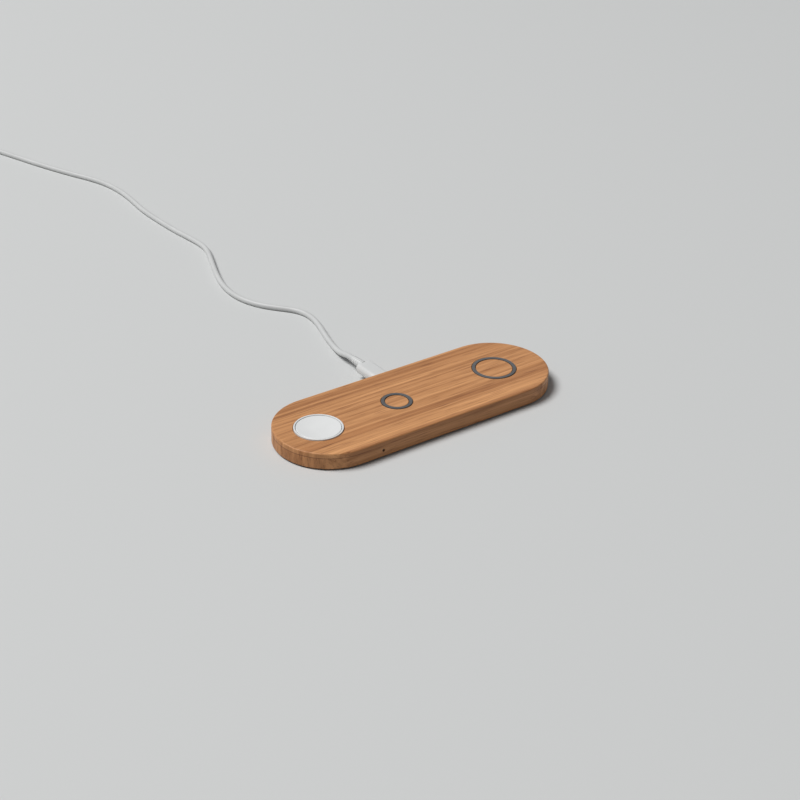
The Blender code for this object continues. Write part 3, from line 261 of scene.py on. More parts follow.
def new_finish(name, colour, roughness, metallic=0.0):
    """A material whose shader has one colour and one roughness, before any pattern."""
    material = bpy.data.materials.new(name)
    material.use_nodes = True
    shader = material.node_tree.nodes["Principled BSDF"]
    shader.inputs["Base Color"].default_value = (*colour, 1)
    shader.inputs["Roughness"].default_value = roughness
    shader.inputs["Metallic"].default_value = metallic
    return material


def node(material, kind, *links, **settings):
    """Adds a node, sets what is given by name, and links each (output, input name) pair to it."""
    made = material.node_tree.nodes.new("ShaderNode" + kind)
    for key, value in settings.items():
        if hasattr(made, key):
            setattr(made, key, value)
        else:
            made.inputs[key.replace("_", " ")].default_value = value
    for output, name in links:
        material.node_tree.links.new(output, made.inputs[name])
    return made


def join(material, output, name):
    """Links an output to an input of the material's own shader."""
    shader = material.node_tree.nodes["Principled BSDF"]
    material.node_tree.links.new(output, shader.inputs[name])


def pattern(material, scale, stretch=(1, 1, 1), detail=3.0, place=None):
    """Noise of so many blotches a metre, squeezed by stretch along X, Y and Z."""
    place = place or node(material, "TexCoord").outputs["Object"]
    mapped = node(material, "Mapping", (place, "Vector"), Scale=stretch).outputs["Vector"]
    return node(material, "TexNoise", (mapped, "Vector"), Scale=scale, Detail=detail).outputs["Fac"]


def between(material, value, low, high, dark, light):
    """A colour that goes from dark to light as the value goes from low to high."""
    share = node(material, "MapRange", (value, "Value"), From_Min=low, From_Max=high).outputs["Result"]
    mixed = node(material, "Mix", (share, MIX_SHARE), data_type="RGBA")
    mixed.inputs[MIX_DARK].default_value = (*dark, 1)
    mixed.inputs[MIX_LIGHT].default_value = (*light, 1)
    return mixed.outputs[MIX_COLOUR]


def roughened(material, value, low, high):
    """The shader's roughness goes from low to high with the value, over noise's usual range."""
    spread = node(material, "MapRange", (value, "Value"), From_Min=NOISE_LOW, From_Max=NOISE_HIGH,
                  To_Min=low, To_Max=high)
    join(material, spread.outputs["Result"], "Roughness")


def bumped(material, value, height, strength=1.0):
    """The value tips the surface as if it stood up by that height in metres."""
    bump = node(material, "Bump", (value, "Height"), Distance=height, Strength=strength)
    join(material, bump.outputs["Normal"], "Normal")


def plain(name, dark, light, rough, grain, grain_height, metallic=0.0, blotch=60):
    """A moulded, rolled or fired surface: soft blotches of tone and a fine grain."""
    material = new_finish(name, light, rough[0], metallic)
    tone = pattern(material, blotch)
    join(material, between(material, tone, NOISE_LOW, NOISE_HIGH, dark, light), "Base Color")
    roughened(material, pattern(material, blotch * 4), *rough)
    bumped(material, pattern(material, grain, detail=2.0), grain_height)
    return material


def wear(piece, material):
    """Gives a piece its finish."""
    piece.data.materials.clear()
    piece.data.materials.append(material)


def dress(material, *names):
    """Gives nodes of the solid model a finish, in their own material slots."""
    for name in names:
        for material_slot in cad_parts[name].material_slots:
            material_slot.material = material


# %% [markdown]
# ## The floor and the light
#
# The station lies on a pale grey sweep. One wide soft lamp hangs almost overhead, a little
# to the left and behind, so the top is bright, the round end is half lit and the front edge
# is darker. The sky gives only a little light of its own, but it looks pale to the camera
# and in reflections, as a studio's walls would.

# %% Floor, lamp and sky
FLOOR_HALF = 14.0
FLOOR_COLOUR, FLOOR_ROUGHNESS = (0.605, 0.612, 0.608), 0.9
LAMP_WAY = Vector((-0.42, 0.24, 0.87)).normalized()
LAMP_DISTANCE, LAMP_SIZE, LAMP_POWER = 8.0, 4.0, 625
SKY_COLOUR = (0.96, 0.98, 1.0)
SKY_ON_THINGS, SKY_AS_SEEN = 0.16, 0.62

floor = bpy.data.objects.new("floor", bpy.data.meshes.new("floor"))
corners = [(x * FLOOR_HALF, y * FLOOR_HALF, 0) for x, y in ((-1, -1), (1, -1), (1, 1), (-1, 1))]
floor.data.from_pydata(corners, [], [(0, 1, 2, 3)])
bpy.context.scene.collection.objects.link(floor)
floor.data.materials.append(new_finish("floor_paper", FLOOR_COLOUR, FLOOR_ROUGHNESS))

lamp_data = bpy.data.lights.new("softbox", "AREA")
lamp_data.shape = "DISK"
lamp_data.size = LAMP_SIZE
lamp_data.energy = LAMP_POWER
lamp = bpy.data.objects.new("softbox", lamp_data)
lamp_turn = LAMP_WAY.to_track_quat("Z", "Y").to_matrix().to_4x4()
lamp.matrix_world = Matrix.Translation(LAMP_WAY * LAMP_DISTANCE) @ lamp_turn
lamp.visible_camera = False
bpy.context.scene.collection.objects.link(lamp)

sky = bpy.data.worlds.new("studio")
sky.use_nodes = True
bpy.context.scene.world = sky
tree = sky.node_tree
background = tree.nodes["Background"]
background.inputs["Color"].default_value = (*SKY_COLOUR, 1)
rays = tree.nodes.new("ShaderNodeLightPath")
seen = tree.nodes.new("ShaderNodeMath")
seen.operation = "MAXIMUM"
tree.links.new(rays.outputs["Is Camera Ray"], seen.inputs[0])
tree.links.new(rays.outputs["Is Glossy Ray"], seen.inputs[1])
strength = tree.nodes.new("ShaderNodeMapRange")
strength.inputs["To Min"].default_value = SKY_ON_THINGS
strength.inputs["To Max"].default_value = SKY_AS_SEEN
tree.links.new(seen.outputs["Value"], strength.inputs["Value"])
tree.links.new(strength.outputs["Result"], background.inputs["Strength"])
bpy.context.scene.view_settings.view_transform = "Standard"
print("lamp", LAMP_SIZE, "m wide,", LAMP_DISTANCE, "m away")

# %% [markdown]
# ## The lead
#
# A cord is a circle carried along the route. At each point of the route the circle needs two
# directions square to the cord: one level, from the cord's own way and straight up, and one
# square to both. The lead never stands upright, so these two never fail. The sleeve is a
# soft white plastic, silky rather than shiny, and so smooth that only its edge shows light.

# %% Lead
def along(path):
    """At each point of a path, its way and two ways across it: level, and square to both."""
    way = np.gradient(path, axis=0)
    way /= np.linalg.norm(way, axis=1)[:, None]
    level = np.cross(way, (0, 0, 1.0))
    level /= np.linalg.norm(level, axis=1)[:, None]
    return way, level, np.cross(level, way)


def round_tube(name, path, radius, sides, body):
    """Circle of that radius at each point: point + radius (cos t level + sin t square)."""
    _, level, square = along(path)
    t = np.linspace(0, 2 * np.pi, sides, endpoint=False)[None, :, None]
    grid = path[:, None] + radius * (np.cos(t) * level[:, None] + np.sin(t) * square[:, None])
    return closed_tube(name, grid[:, ::-1], body)


LEAD_SIDES = 28

lead = round_tube("lead", route, CORD_RADIUS, LEAD_SIDES, "cord_set")
cord_sleeve = plain("cord_sleeve", (0.53, 0.535, 0.53), (0.58, 0.585, 0.58), (0.42, 0.52), 2500, 0.00002)
wear(lead, cord_sleeve)
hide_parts("cord", "cord_coil", "cord_tail")
print("lead volume", round(volume(lead.data) * 1e6, 2), "cm3 in", len(lead.data.polygons), "faces")

# %% [markdown]
# ## Bamboo
#
# The slab is glued up from strips of bamboo on edge, so its top shows long straight strips a
# few millimetres wide, each with its own tone, and short dark dashes where the plant's
# fibres are cut. On the round end the same strips are cut across and show as upright bands.
# A pattern that lives in space gives both at once: strips are steps along Y, and fibres are
# noise drawn out along X. A thin line of glue runs round the edge under the top layer.

# %% Bamboo finish
STRIP_WIDTH = 5.4 * MM
GLUE_HEIGHT = 7.55 * MM
GLUE_HALF = 0.13 * MM
WAVER = 1.2 * MM
LAYER_SHIFT = 7.37
END_SQUEEZE = 0.14
GLUE_FAINT, GLUE_FULL = 40 * MM, 70 * MM

bamboo = new_finish("oiled_bamboo", (0.50, 0.28, 0.145), 0.5)
place = node(bamboo, "TexCoord").outputs["Object"]
axes = node(bamboo, "SeparateXYZ", (place, "Vector")).outputs
wavy = pattern(bamboo, 1, (9, 60, 60), detail=1.0)
shifted = node(bamboo, "Math", (wavy, 0), (axes["Y"], 2), operation="MULTIPLY_ADD")
shifted.inputs[1].default_value = WAVER
layer = node(bamboo, "Math", (axes["Z"], 0), operation="GREATER_THAN")
layer.inputs[1].default_value = GLUE_HEIGHT
strips = node(bamboo, "Math", (shifted.outputs[0], 0), operation="DIVIDE")
strips.inputs[1].default_value = STRIP_WIDTH
offset = node(bamboo, "Math", (layer.outputs[0], 0), (strips.outputs[0], 2), operation="MULTIPLY_ADD")
offset.inputs[1].default_value = LAYER_SHIFT
strip_number = node(bamboo, "Math", (offset.outputs[0], 0), operation="FLOOR").outputs[0]
strip_tone = node(bamboo, "TexWhiteNoise", (strip_number, "W"), noise_dimensions="1D").outputs["Value"]
facing = node(bamboo, "SeparateXYZ", (node(bamboo, "NewGeometry").outputs["Normal"], "Vector")).outputs["X"]
end_share = node(bamboo, "Math", (facing, 0), (facing, 1), operation="MULTIPLY").outputs[0]
upright = node(bamboo, "MapRange", (end_share, "Value"), From_Min=0.1, From_Max=0.5,
               To_Min=1.0, To_Max=END_SQUEEZE)
low_z = node(bamboo, "Math", (axes["Z"], 0), (upright.outputs["Result"], 1), operation="MULTIPLY").outputs[0]
grain_place = node(bamboo, "CombineXYZ", (axes["X"], "X"), (axes["Y"], "Y"), (low_z, "Z")).outputs["Vector"]
bands = pattern(bamboo, 1, (5, 400, 5), detail=2.0)
long_grain = pattern(bamboo, 1, (14, 520, 420), detail=4.0, place=grain_place)
fibres = pattern(bamboo, 1, (60, 1700, 1700), detail=2.0, place=grain_place)


def tinted(colour, tint, share=1.0):
    """The colour times the tint, or times so much of it as the share says."""
    mixed = node(bamboo, "Mix", (colour, MIX_DARK), (tint, MIX_LIGHT), data_type="RGBA",
                 blend_type="MULTIPLY")
    if isinstance(share, float):
        mixed.inputs[MIX_SHARE].default_value = share
    else:
        bamboo.node_tree.links.new(share, mixed.inputs[MIX_SHARE])
    return mixed.outputs[MIX_COLOUR]


wood = between(bamboo, strip_tone, 0.0, 1.0, (0.440, 0.194, 0.068), (0.615, 0.305, 0.124))
wood = tinted(wood, between(bamboo, bands, 0.30, 0.70, (0.84, 0.79, 0.74), (1.12, 1.12, 1.13)))
wood = tinted(wood, between(bamboo, long_grain, 0.30, 0.68, (0.72, 0.655, 0.58), (1.12, 1.13, 1.14)))
wood = tinted(wood, between(bamboo, fibres, 0.30, 0.44, (0.58, 0.50, 0.42), (1.0, 1.0, 1.0)))
glue_way = node(bamboo, "Math", (axes["Z"], 0), operation="SUBTRACT")
glue_way.inputs[1].default_value = GLUE_HEIGHT
glue_away = node(bamboo, "Math", (glue_way.outputs[0], 0), operation="ABSOLUTE").outputs[0]
from_middle = node(bamboo, "Math", (axes["X"], 0), operation="ABSOLUTE").outputs[0]
glue_seen = node(bamboo, "MapRange", (from_middle, "Value"), From_Min=GLUE_FAINT, From_Max=GLUE_FULL,
                 To_Min=0.25, To_Max=1.0)
glue_tint = between(bamboo, glue_away, GLUE_HALF, GLUE_HALF * 2, (0.45, 0.38, 0.32), (1, 1, 1))
join(bamboo, tinted(wood, glue_tint, glue_seen.outputs["Result"]), "Base Color")
roughened(bamboo, long_grain, 0.62, 0.46)
bumped(bamboo, fibres, 0.00006, 0.7)

# %% [markdown]
# ## The slab
#
# A stadium is a rectangle with a half circle at each end. Carrying one profile round it gives
# the slab: for every step of the profile, so far in from the edge and so high, there is one
# ring of points. The top edge is a small quarter round. The hollow below, the puck's hole and
# the ring grooves are cut with solids of revolution and smaller stadiums, as a router
# would. A cutter that opens in the top, and the one for the plug's slot, flares where it
# comes out, so that rim is eased.

# %% Helpers for forms with one profile
SAME_PLACE = 1e-7


def arc(centre, radius, start, end, steps=8):
    """Points centre + radius * (cos t, sin t), for t from one angle to another in degrees."""
    t = np.radians(np.linspace(start, end, steps))
    return list(zip(centre[0] + radius * np.cos(t), centre[1] + radius * np.sin(t)))


def laid_along(axis, u, v, height, centre):
    """Puts a drawing's u and v across an axis and its height along it, centred there."""
    if axis == "Z":
        return np.stack(np.broadcast_arrays(centre[0] + u, centre[1] + v, height), axis=-1)
    return np.stack(np.broadcast_arrays(centre[0] + u, height, centre[1] + v), axis=-1)


def rounded_form(name, size, corner, profile, body="station", axis="Z", centre=(0, 0), steps=24, loop=False):
    """Profile points (distance in from the edge, height) carried round a rounded rectangle.

    A place on the edge is a corner's centre plus the corner radius times the way outwards, so
    a point of the profile lies at centre + (corner - distance) * way, at its own height. A
    stadium is the case where the corner radius is half the width.
    """
    t = np.concatenate([np.linspace(q, q + 1, steps) for q in range(4)]) * np.pi / 2
    quadrant = np.repeat(np.arange(4), steps)
    side_u, side_v = np.array((1, -1, -1, 1))[quadrant], np.array((1, 1, -1, -1))[quadrant]
    corner_u, corner_v = side_u * (size[0] / 2 - corner), side_v * (size[1] / 2 - corner)
    ring = np.column_stack((corner_u, corner_v, np.cos(t), np.sin(t)))
    edge = ring[:, :2] + corner * ring[:, 2:]
    ring = ring[np.linalg.norm(edge - np.roll(edge, 1, axis=0), axis=1) > SAME_PLACE]
    inset, height = np.array(profile).T[:, :, None]
    u = ring[:, 0] + (corner - inset) * ring[:, 2]
    v = ring[:, 1] + (corner - inset) * ring[:, 3]
    return closed_tube(name, laid_along(axis, u, v, height, centre), body, loop)


def turned_form(name, profile, body="station", axis="Z", centre=(0, 0), steps=96, loop=False):
    """Profile points (radius, height) turned about an axis: radius * (cos t, sin t), height."""
    t = np.linspace(0, 2 * np.pi, steps, endpoint=False)
    radius, height = np.array(profile).T[:, :, None]
    grid = laid_along(axis, radius * np.cos(t), radius * np.sin(t), height, centre)
    return closed_tube(name, grid, body, loop)


def carve(piece, *tools):
    """Takes the tools out of a piece, keeps the result as its mesh and removes the tools."""
    for tool in tools:
        boolean = piece.modifiers.new(tool.name, "BOOLEAN")
        boolean.object = tool
        boolean.solver = "MANIFOLD"
    shape = piece.evaluated_get(bpy.context.evaluated_depsgraph_get())
    piece.data = bpy.data.meshes.new_from_object(shape)
    piece.modifiers.clear()
    piece.data.shade_smooth()
    piece.data.set_sharp_from_angle(angle=SHARP_ANGLE)
    for tool in tools:
        bpy.data.objects.remove(tool)


# %% Block of the slab
SLAB_SIZE = (180 * MM, 64 * MM)
SLAB_LOW, SLAB_TOP = 1.0 * MM, 10.5 * MM
SLAB_RADIUS = SLAB_SIZE[1] / 2
ARRIS = 0.8 * MM
LOW_EASE = 0.3 * MM
PAST = 1 * MM

slab_profile = [(3 * LOW_EASE, SLAB_LOW)] + arc((LOW_EASE, SLAB_LOW + LOW_EASE), LOW_EASE, 270, 180, 5)
slab_profile += arc((ARRIS, SLAB_TOP - ARRIS), ARRIS, 180, 90, 12) + [(ARRIS + LOW_EASE, SLAB_TOP)]
slab = rounded_form("bamboo_slab", SLAB_SIZE, SLAB_RADIUS, slab_profile, steps=64)
print("slab before cutting:", round(volume(slab.data) * 1e6, 1), "cm3")

# %% [markdown]
# ## Hollows and holes
#
# The hollow from below leaves a rim for the cover to sit in, a ledge for its screws and four
# round bosses for the board's screws. From above come the puck's hole and two shallow ring
# grooves. A small hole in the front edge lets the status light out, and a slot in the back
# edge lets the plug in. Each is a solid of its own that a Boolean takes away.

# %% Hollows and holes
POCKET_RADIUS, RABBET_RADIUS = 26 * MM, 30.5 * MM
LEDGE, POCKET_TOP, BOSS_FROM = 2.7 * MM, 8.7 * MM, 4.6 * MM
PUCK_X, EARBUDS_X, PHONE_X = -65 * MM, -12 * MM, 58 * MM
RIM_EASE = 0.2 * MM
PUCK_HOLE, PUCK_HOLE_FLOOR = 14.3 * MM, 7.2 * MM
GROOVE_FLOOR = 9.6 * MM
PHONE_GROOVE, EARBUDS_GROOVE = (13.3 * MM, 10.7 * MM), (9.3 * MM, 6.7 * MM)
BOSS_RADIUS, BOSS_HOLE, SCREW_HOLE, LIGHT_HOLE = 2.75 * MM, 1.0 * MM, 1.1 * MM, 0.9 * MM
BOSS_DEPTHS, SCREW_DEPTHS, LIGHT_DEPTHS = (4.3 * MM, 7.7 * MM), (2.4 * MM, 6.9 * MM), (-33 * MM, -25 * MM)
NOTCH_SIZE, NOTCH_CORNER, NOTCH_HEIGHT = (12.6 * MM, 6.1 * MM), 0.1 * MM, 5.45 * MM
SLOT_SIZE, SLOT_CORNER = (9.05 * MM, 3.2 * MM), 1.599 * MM
SLOT_FROM, SLOT_EASE_FROM, NOTCH_FROM, NOTCH_TO = 30 * MM, 31.8 * MM, 25 * MM, 31 * MM
BOSS_PLACES = [(x * MM, y * MM) for x in (-39.0, 14.5) for y in (-20.4, 20.4)]
SCREW_PLACES = [(x * MM, y * MM) for x, y in ((-35, -28), (35, -28), (-35, 28), (35, 28), (-86, 0), (86, 0))]
FOOT_PLACES = [(x * MM, y * MM) for x in (-62, 62) for y in (-17, 17)]
LED_PLACE = (-43.6 * MM, 4.8 * MM)


def stadium_tool(name, radius, low, high):
    """An upright stadium of the slab's own run, with that end radius."""
    size = (SLAB_SIZE[0] - SLAB_SIZE[1] + 2 * radius, 2 * radius)
    return rounded_form(name, size, radius, [(0, low), (0, high)], None, steps=48)


def round_tool(name, radius, low, high, place, axis="Z"):
    """A plain drill of that radius."""
    return turned_form(name, [(radius, low), (radius, high)], None, axis, place, steps=48)


def groove_tool(name, outer, inner, floor, place):
    """A ring-shaped cutter with a flat floor, flared where it leaves the top."""
    flare, over = SLAB_TOP - RIM_EASE, RIM_EASE + PAST
    profile = [(inner, floor), (outer, floor), (outer, flare), (outer + over, flare + over),
               (inner - over, flare + over), (inner, flare)]
    return turned_form(name, profile, None, centre=place, steps=128, loop=True)


under = stadium_tool("pocket", POCKET_RADIUS, SLAB_LOW - PAST, POCKET_TOP)
carve(under, *[round_tool(f"boss_{i}", BOSS_RADIUS, BOSS_FROM, POCKET_TOP + PAST, p)
               for i, p in enumerate(BOSS_PLACES)])
flare, over = SLAB_TOP - RIM_EASE, RIM_EASE + PAST
puck_hole = turned_form("puck_hole", [(PUCK_HOLE, PUCK_HOLE_FLOOR), (PUCK_HOLE, flare),
                                      (PUCK_HOLE + over, flare + over)], None, centre=(PUCK_X, 0), steps=128)
notch = rounded_form("socket_notch", NOTCH_SIZE, NOTCH_CORNER, [(0, NOTCH_FROM), (0, NOTCH_TO)], None, "Y",
                     (0, NOTCH_HEIGHT), 4)
slot_ease = [(0, SLOT_FROM), (0, SLOT_EASE_FROM), (-PAST, SLOT_EASE_FROM + PAST)]
port_slot = rounded_form("port_slot", SLOT_SIZE, SLOT_CORNER, slot_ease, None, "Y", (0, PORT_HEIGHT), 12)
carve(slab, stadium_tool("rabbet", RABBET_RADIUS, SLAB_LOW - PAST, LEDGE), under)
carve(slab, puck_hole,
      groove_tool("phone_groove", *PHONE_GROOVE, GROOVE_FLOOR, (PHONE_X, 0)),
      groove_tool("earbuds_groove", *EARBUDS_GROOVE, GROOVE_FLOOR, (EARBUDS_X, 0)))
carve(slab, notch, port_slot, round_tool("light_hole", LIGHT_HOLE, *LIGHT_DEPTHS, LED_PLACE, "Y"))
carve(slab, *[round_tool(f"screw_hole_{i}", SCREW_HOLE, *SCREW_DEPTHS, p)
              for i, p in enumerate(SCREW_PLACES)],
      *[round_tool(f"boss_hole_{i}", BOSS_HOLE, *BOSS_DEPTHS, p) for i, p in enumerate(BOSS_PLACES)])
wear(slab, bamboo)
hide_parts("bamboo_body")
print("slab as cut:", round(volume(slab.data) * 1e6, 1), "cm3 in", len(slab.data.polygons), "faces")

# %% [markdown]
# ## The watch puck
#
# The puck is moulded in glossy white plastic: a thin outer ring with a flange that is held
# under the top, and a shallow dished face, in which a rounded back settles by itself. The
# dish is a quarter cosine from the flat middle to the lip, so it starts level and has no
# crease.

# %% Watch puck
PUCK_TOP, PUCK_LOW, PUCK_OUTER, PUCK_BORE = 11.1 * MM, 4.1 * MM, 14 * MM, 13 * MM
FLANGE_OUTER, FLANGE_LOW, FLANGE_HIGH = 15.5 * MM, 7.4 * MM, 8.4 * MM
LIP = 0.3 * MM
FACE_OUTER, FACE_TOP, FACE_LOW = 12.7 * MM, 10.9 * MM, 9.5 * MM
DISH_FLAT, DISH_DEPTH = 4 * MM, 0.7 * MM

shell_profile = arc((PUCK_OUTER - LIP, PUCK_TOP - LIP), LIP, 0, 90)
shell_profile += arc((PUCK_BORE + LIP, PUCK_TOP - LIP), LIP, 90, 180)
shell_profile += [(PUCK_BORE, PUCK_LOW), (PUCK_OUTER, PUCK_LOW), (PUCK_OUTER, FLANGE_LOW),
                  (FLANGE_OUTER, FLANGE_LOW), (FLANGE_OUTER, FLANGE_HIGH), (PUCK_OUTER, FLANGE_HIGH)]
puck_ring = turned_form("puck_ring", shell_profile, centre=(PUCK_X, 0), steps=128, loop=True)
share = np.linspace(0, 1, 24)
dish_edge = FACE_OUTER - LIP
dish = np.column_stack((DISH_FLAT + (dish_edge - DISH_FLAT) * share,
                        FACE_TOP - DISH_DEPTH * np.cos(share * np.pi / 2)))
face_profile = [(FACE_OUTER, FACE_LOW)] + arc((dish_edge, FACE_TOP - LIP), LIP, 0, 84)
face_profile += [tuple(point) for point in dish[::-1]] + [(DISH_FLAT - LIP, FACE_TOP - DISH_DEPTH)]
puck_face = turned_form("puck_face", face_profile, centre=(PUCK_X, 0), steps=128)

gloss_white = plain("gloss_white", (0.74, 0.745, 0.74), (0.77, 0.775, 0.77), (0.18, 0.26), 900, 0.000004)
satin_white = plain("satin_white", (0.70, 0.705, 0.70), (0.75, 0.755, 0.75), (0.30, 0.42), 3000, 0.000012)
wear(puck_ring, satin_white)
wear(puck_face, gloss_white)
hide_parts("watch_puck_shell")
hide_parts("watch_puck_face")
dress(satin_white, "watch_puck_lid")
print("the dish is", round((FACE_TOP - puck_face.data.vertices[-1].co.z) / MM, 2), "mm deep")

# %% [markdown]
# ## The grip rings
#
# Two flat rings of soft silicone are pressed into their grooves and stand a little proud, so
# that glass and smooth plastic don't slide on the lacquer. Silicone scatters the light that
# falls on it and hardly shines, and dust-fine grain keeps it from looking like paint.

# %% Grip rings
RING_WIDTH, RING_LOW, RING_TOP, RING_EASE = 2 * MM, 9.9 * MM, 10.8 * MM, 0.3 * MM


def grip_ring(name, outer, place):
    """A ring of rectangular section whose two upper edges are rounded."""
    inner = outer - RING_WIDTH
    profile = [(inner, RING_LOW), (outer, RING_LOW)]
    profile += arc((outer - RING_EASE, RING_TOP - RING_EASE), RING_EASE, 0, 90)
    profile += arc((inner + RING_EASE, RING_TOP - RING_EASE), RING_EASE, 90, 180)
    return turned_form(name, profile, centre=place, steps=128, loop=True)


silicone = plain("silicone", (0.075, 0.075, 0.077), (0.105, 0.105, 0.107), (0.62, 0.80), 2200, 0.00002)
for ring_name, outer, ring_x in (("phone_grip_ring", 13 * MM, PHONE_X),
                                 ("earbuds_grip_ring", 9 * MM, EARBUDS_X)):
    ring = grip_ring(ring_name.replace("grip", "silicone"), outer, (ring_x, 0))
    wear(ring, silicone)
    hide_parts(ring_name)

# %% [markdown]
# ## The underside
#
# The cover is moulded in matt black plastic with a fine spark-eroded grain. It sits in its
# rebate flush with the rim, held by six small cross-head screws, and four rubber feet are
# stuck into shallow round recesses. Only a millimetre of each foot stands out, which is the
# thin dark line that shows between the slab and the table.

# %% Underside
COVER_SIZE, COVER_RADIUS = (176.4 * MM, 60.4 * MM), 30.2 * MM
COVER_LOW, COVER_TOP, COVER_EASE = 1.0 * MM, 2.4 * MM, 0.25 * MM
SEAT_RADIUS, SEAT_FLOOR = 1.7 * MM, 1.9 * MM
RECESS_RADIUS, RECESS_FLOOR = 4.8 * MM, 1.7 * MM
FOOT_RADIUS, FOOT_TOP, FOOT_EASE = 4.5 * MM, 1.4 * MM, 0.35 * MM

cover_profile = [(3 * COVER_EASE, COVER_LOW)]
cover_profile += arc((COVER_EASE, COVER_LOW + COVER_EASE), COVER_EASE, 270, 180, 5)
cover = rounded_form("cover_plate", COVER_SIZE, COVER_RADIUS, cover_profile + [(0, COVER_TOP)], steps=48)
seat_profile = [(SEAT_RADIUS, COVER_LOW - PAST), (SEAT_RADIUS, SEAT_FLOOR), (SCREW_HOLE, SEAT_FLOOR),
                (SCREW_HOLE, COVER_TOP + PAST)]
carve(cover, *[turned_form(f"seat_{i}", seat_profile, None, centre=p, steps=40)
               for i, p in enumerate(SCREW_PLACES)],
      *[round_tool(f"recess_{i}", RECESS_RADIUS, COVER_LOW - PAST, RECESS_FLOOR, p)
        for i, p in enumerate(FOOT_PLACES)])
base_black = plain("base_black", (0.022, 0.022, 0.024), (0.032, 0.032, 0.034), (0.50, 0.66), 2600, 0.00003)
wear(cover, base_black)
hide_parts("base_cover")

rubber = plain("foot_rubber", (0.016, 0.016, 0.017), (0.028, 0.028, 0.029), (0.72, 0.9), 1800, 0.00004)
foot_profile = [(FOOT_RADIUS, FOOT_TOP), (FOOT_RADIUS, FOOT_EASE)]
foot_profile += arc((FOOT_RADIUS - FOOT_EASE, FOOT_EASE), FOOT_EASE, 0, -90)
for i, foot_place in enumerate(FOOT_PLACES):
    foot = turned_form(f"rubber_foot_{i + 1}", foot_profile, centre=foot_place, steps=64)
    wear(foot, rubber)
    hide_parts(f"foot_{i + 1}")
print("cover volume", round(volume(cover.data) * 1e6, 2), "cm3")

# %% [markdown]
# ## The plugs
#
# Both plugs have a white moulded grip, round at the corners so that it is easy to hold, with
# a ribbed sleeve behind it that keeps the cord from kinking. The ribs are one formula: the
# radius tapers along the sleeve, and a sine to the fourth power takes grooves out of it.

# %% Plug grips and sleeves
def sleeve(name, from_y, to_y, wide, narrow, grooves, depth, centre):
    """Radius wide + (narrow - wide) s - depth sin^4(pi grooves s), for s along the sleeve."""
    s = np.linspace(0, 1, 24 * grooves + 1)
    radius = wide + (narrow - wide) * s - depth * np.sin(np.pi * grooves * s) ** 4
    y = from_y + (to_y - from_y) * s
    return turned_form(name, np.column_stack((radius, y)), "cord_set", "Y", centre, 48)


def grip(name, size, corner, front, rear, front_ease, rear_ease, centre):
    """A rounded bar from front to rear, with its two ends eased by quarter circles."""
    way = 1 if rear > front else -1
    profile = [(front_ease * 2, front)]
    profile += [(d, front + way * h) for d, h in arc((front_ease, front_ease), front_ease, 270, 180)]
    profile += [(d, rear - way * h) for d, h in arc((rear_ease, rear_ease), rear_ease, 180, 270)]
    profile += [(rear_ease * 2, rear)]
    return rounded_form(name, size, corner, profile, "cord_set", "Y", centre, 16)


USB_C_PLACE, USB_A_PLACE = (0, PORT_HEIGHT), (-83.6 * MM, 4.0 * MM)
C_GRIP, C_GRIP_CORNER, C_GRIP_ENDS = (11.5 * MM, 6.2 * MM), 2.7 * MM, (32.3 * MM, 50.3 * MM)
A_GRIP, A_GRIP_CORNER, A_GRIP_ENDS = (16 * MM, 8 * MM), 2.2 * MM, (436.4 * MM, 460.4 * MM)
C_EASES, A_EASES = (0.5 * MM, 0.9 * MM), (0.6 * MM, 0.8 * MM)
C_SLEEVE_ENDS, A_SLEEVE_ENDS = (50.6 * MM, RELIEF_END), (460.7 * MM, 469.7 * MM)
C_SLEEVE_RADII, A_SLEEVE_RADII = (2.8 * MM, 2.25 * MM), (3.0 * MM, 2.25 * MM)
C_RIBS, A_RIBS, RIB_DEPTH = 5, 4, 0.35 * MM

c_grip = grip("usb_c_moulding", C_GRIP, C_GRIP_CORNER, *C_GRIP_ENDS, *C_EASES, USB_C_PLACE)
c_sleeve = sleeve("usb_c_sleeve", *C_SLEEVE_ENDS, *C_SLEEVE_RADII, C_RIBS, RIB_DEPTH, USB_C_PLACE)
a_grip = grip("usb_a_moulding", A_GRIP, A_GRIP_CORNER, *A_GRIP_ENDS, *A_EASES, USB_A_PLACE)
a_sleeve = sleeve("usb_a_sleeve", *A_SLEEVE_ENDS, *A_SLEEVE_RADII, A_RIBS, RIB_DEPTH, USB_A_PLACE)
grip_white = plain("grip_white", (0.61, 0.615, 0.61), (0.66, 0.665, 0.66), (0.32, 0.44), 3000, 0.000012)
for moulding, stood_for in ((c_grip, "usb_c_plug_grip"), (c_sleeve, "usb_c_strain_relief"),
                            (a_grip, "usb_a_grip"), (a_sleeve, "usb_a_strain_relief")):
    wear(moulding, grip_white)
    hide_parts(stood_for)

# %% [markdown]
# ## The strap round the coil
#
# A soft strap keeps the turns together. It starts at the end that stands out as a pull tab,
# lies over the bundle, goes down its inner side, back under it and up the outer side, and
# ends under its own tab. That is one line drawn across the bundle, and a thin bar with
# rounded edges is carried along it.

# %% Strap
STRAP_WIDTH, STRAP_THICKNESS, STRAP_EDGE = 6 * MM, 0.8 * MM, 0.3 * MM
STRAP_HALF, STRAP_BEND, TAB_REACH, TAB_CURL = 4.65 * MM, 2.65 * MM, 10.05 * MM, 0.9 * MM
STRAP_TAIL, STRAP_STEP = 0.5 * MM, 0.35 * MM
BUNDLE_RADIUS, BUNDLE_HEIGHT = 20.5 * MM, 5.05 * MM

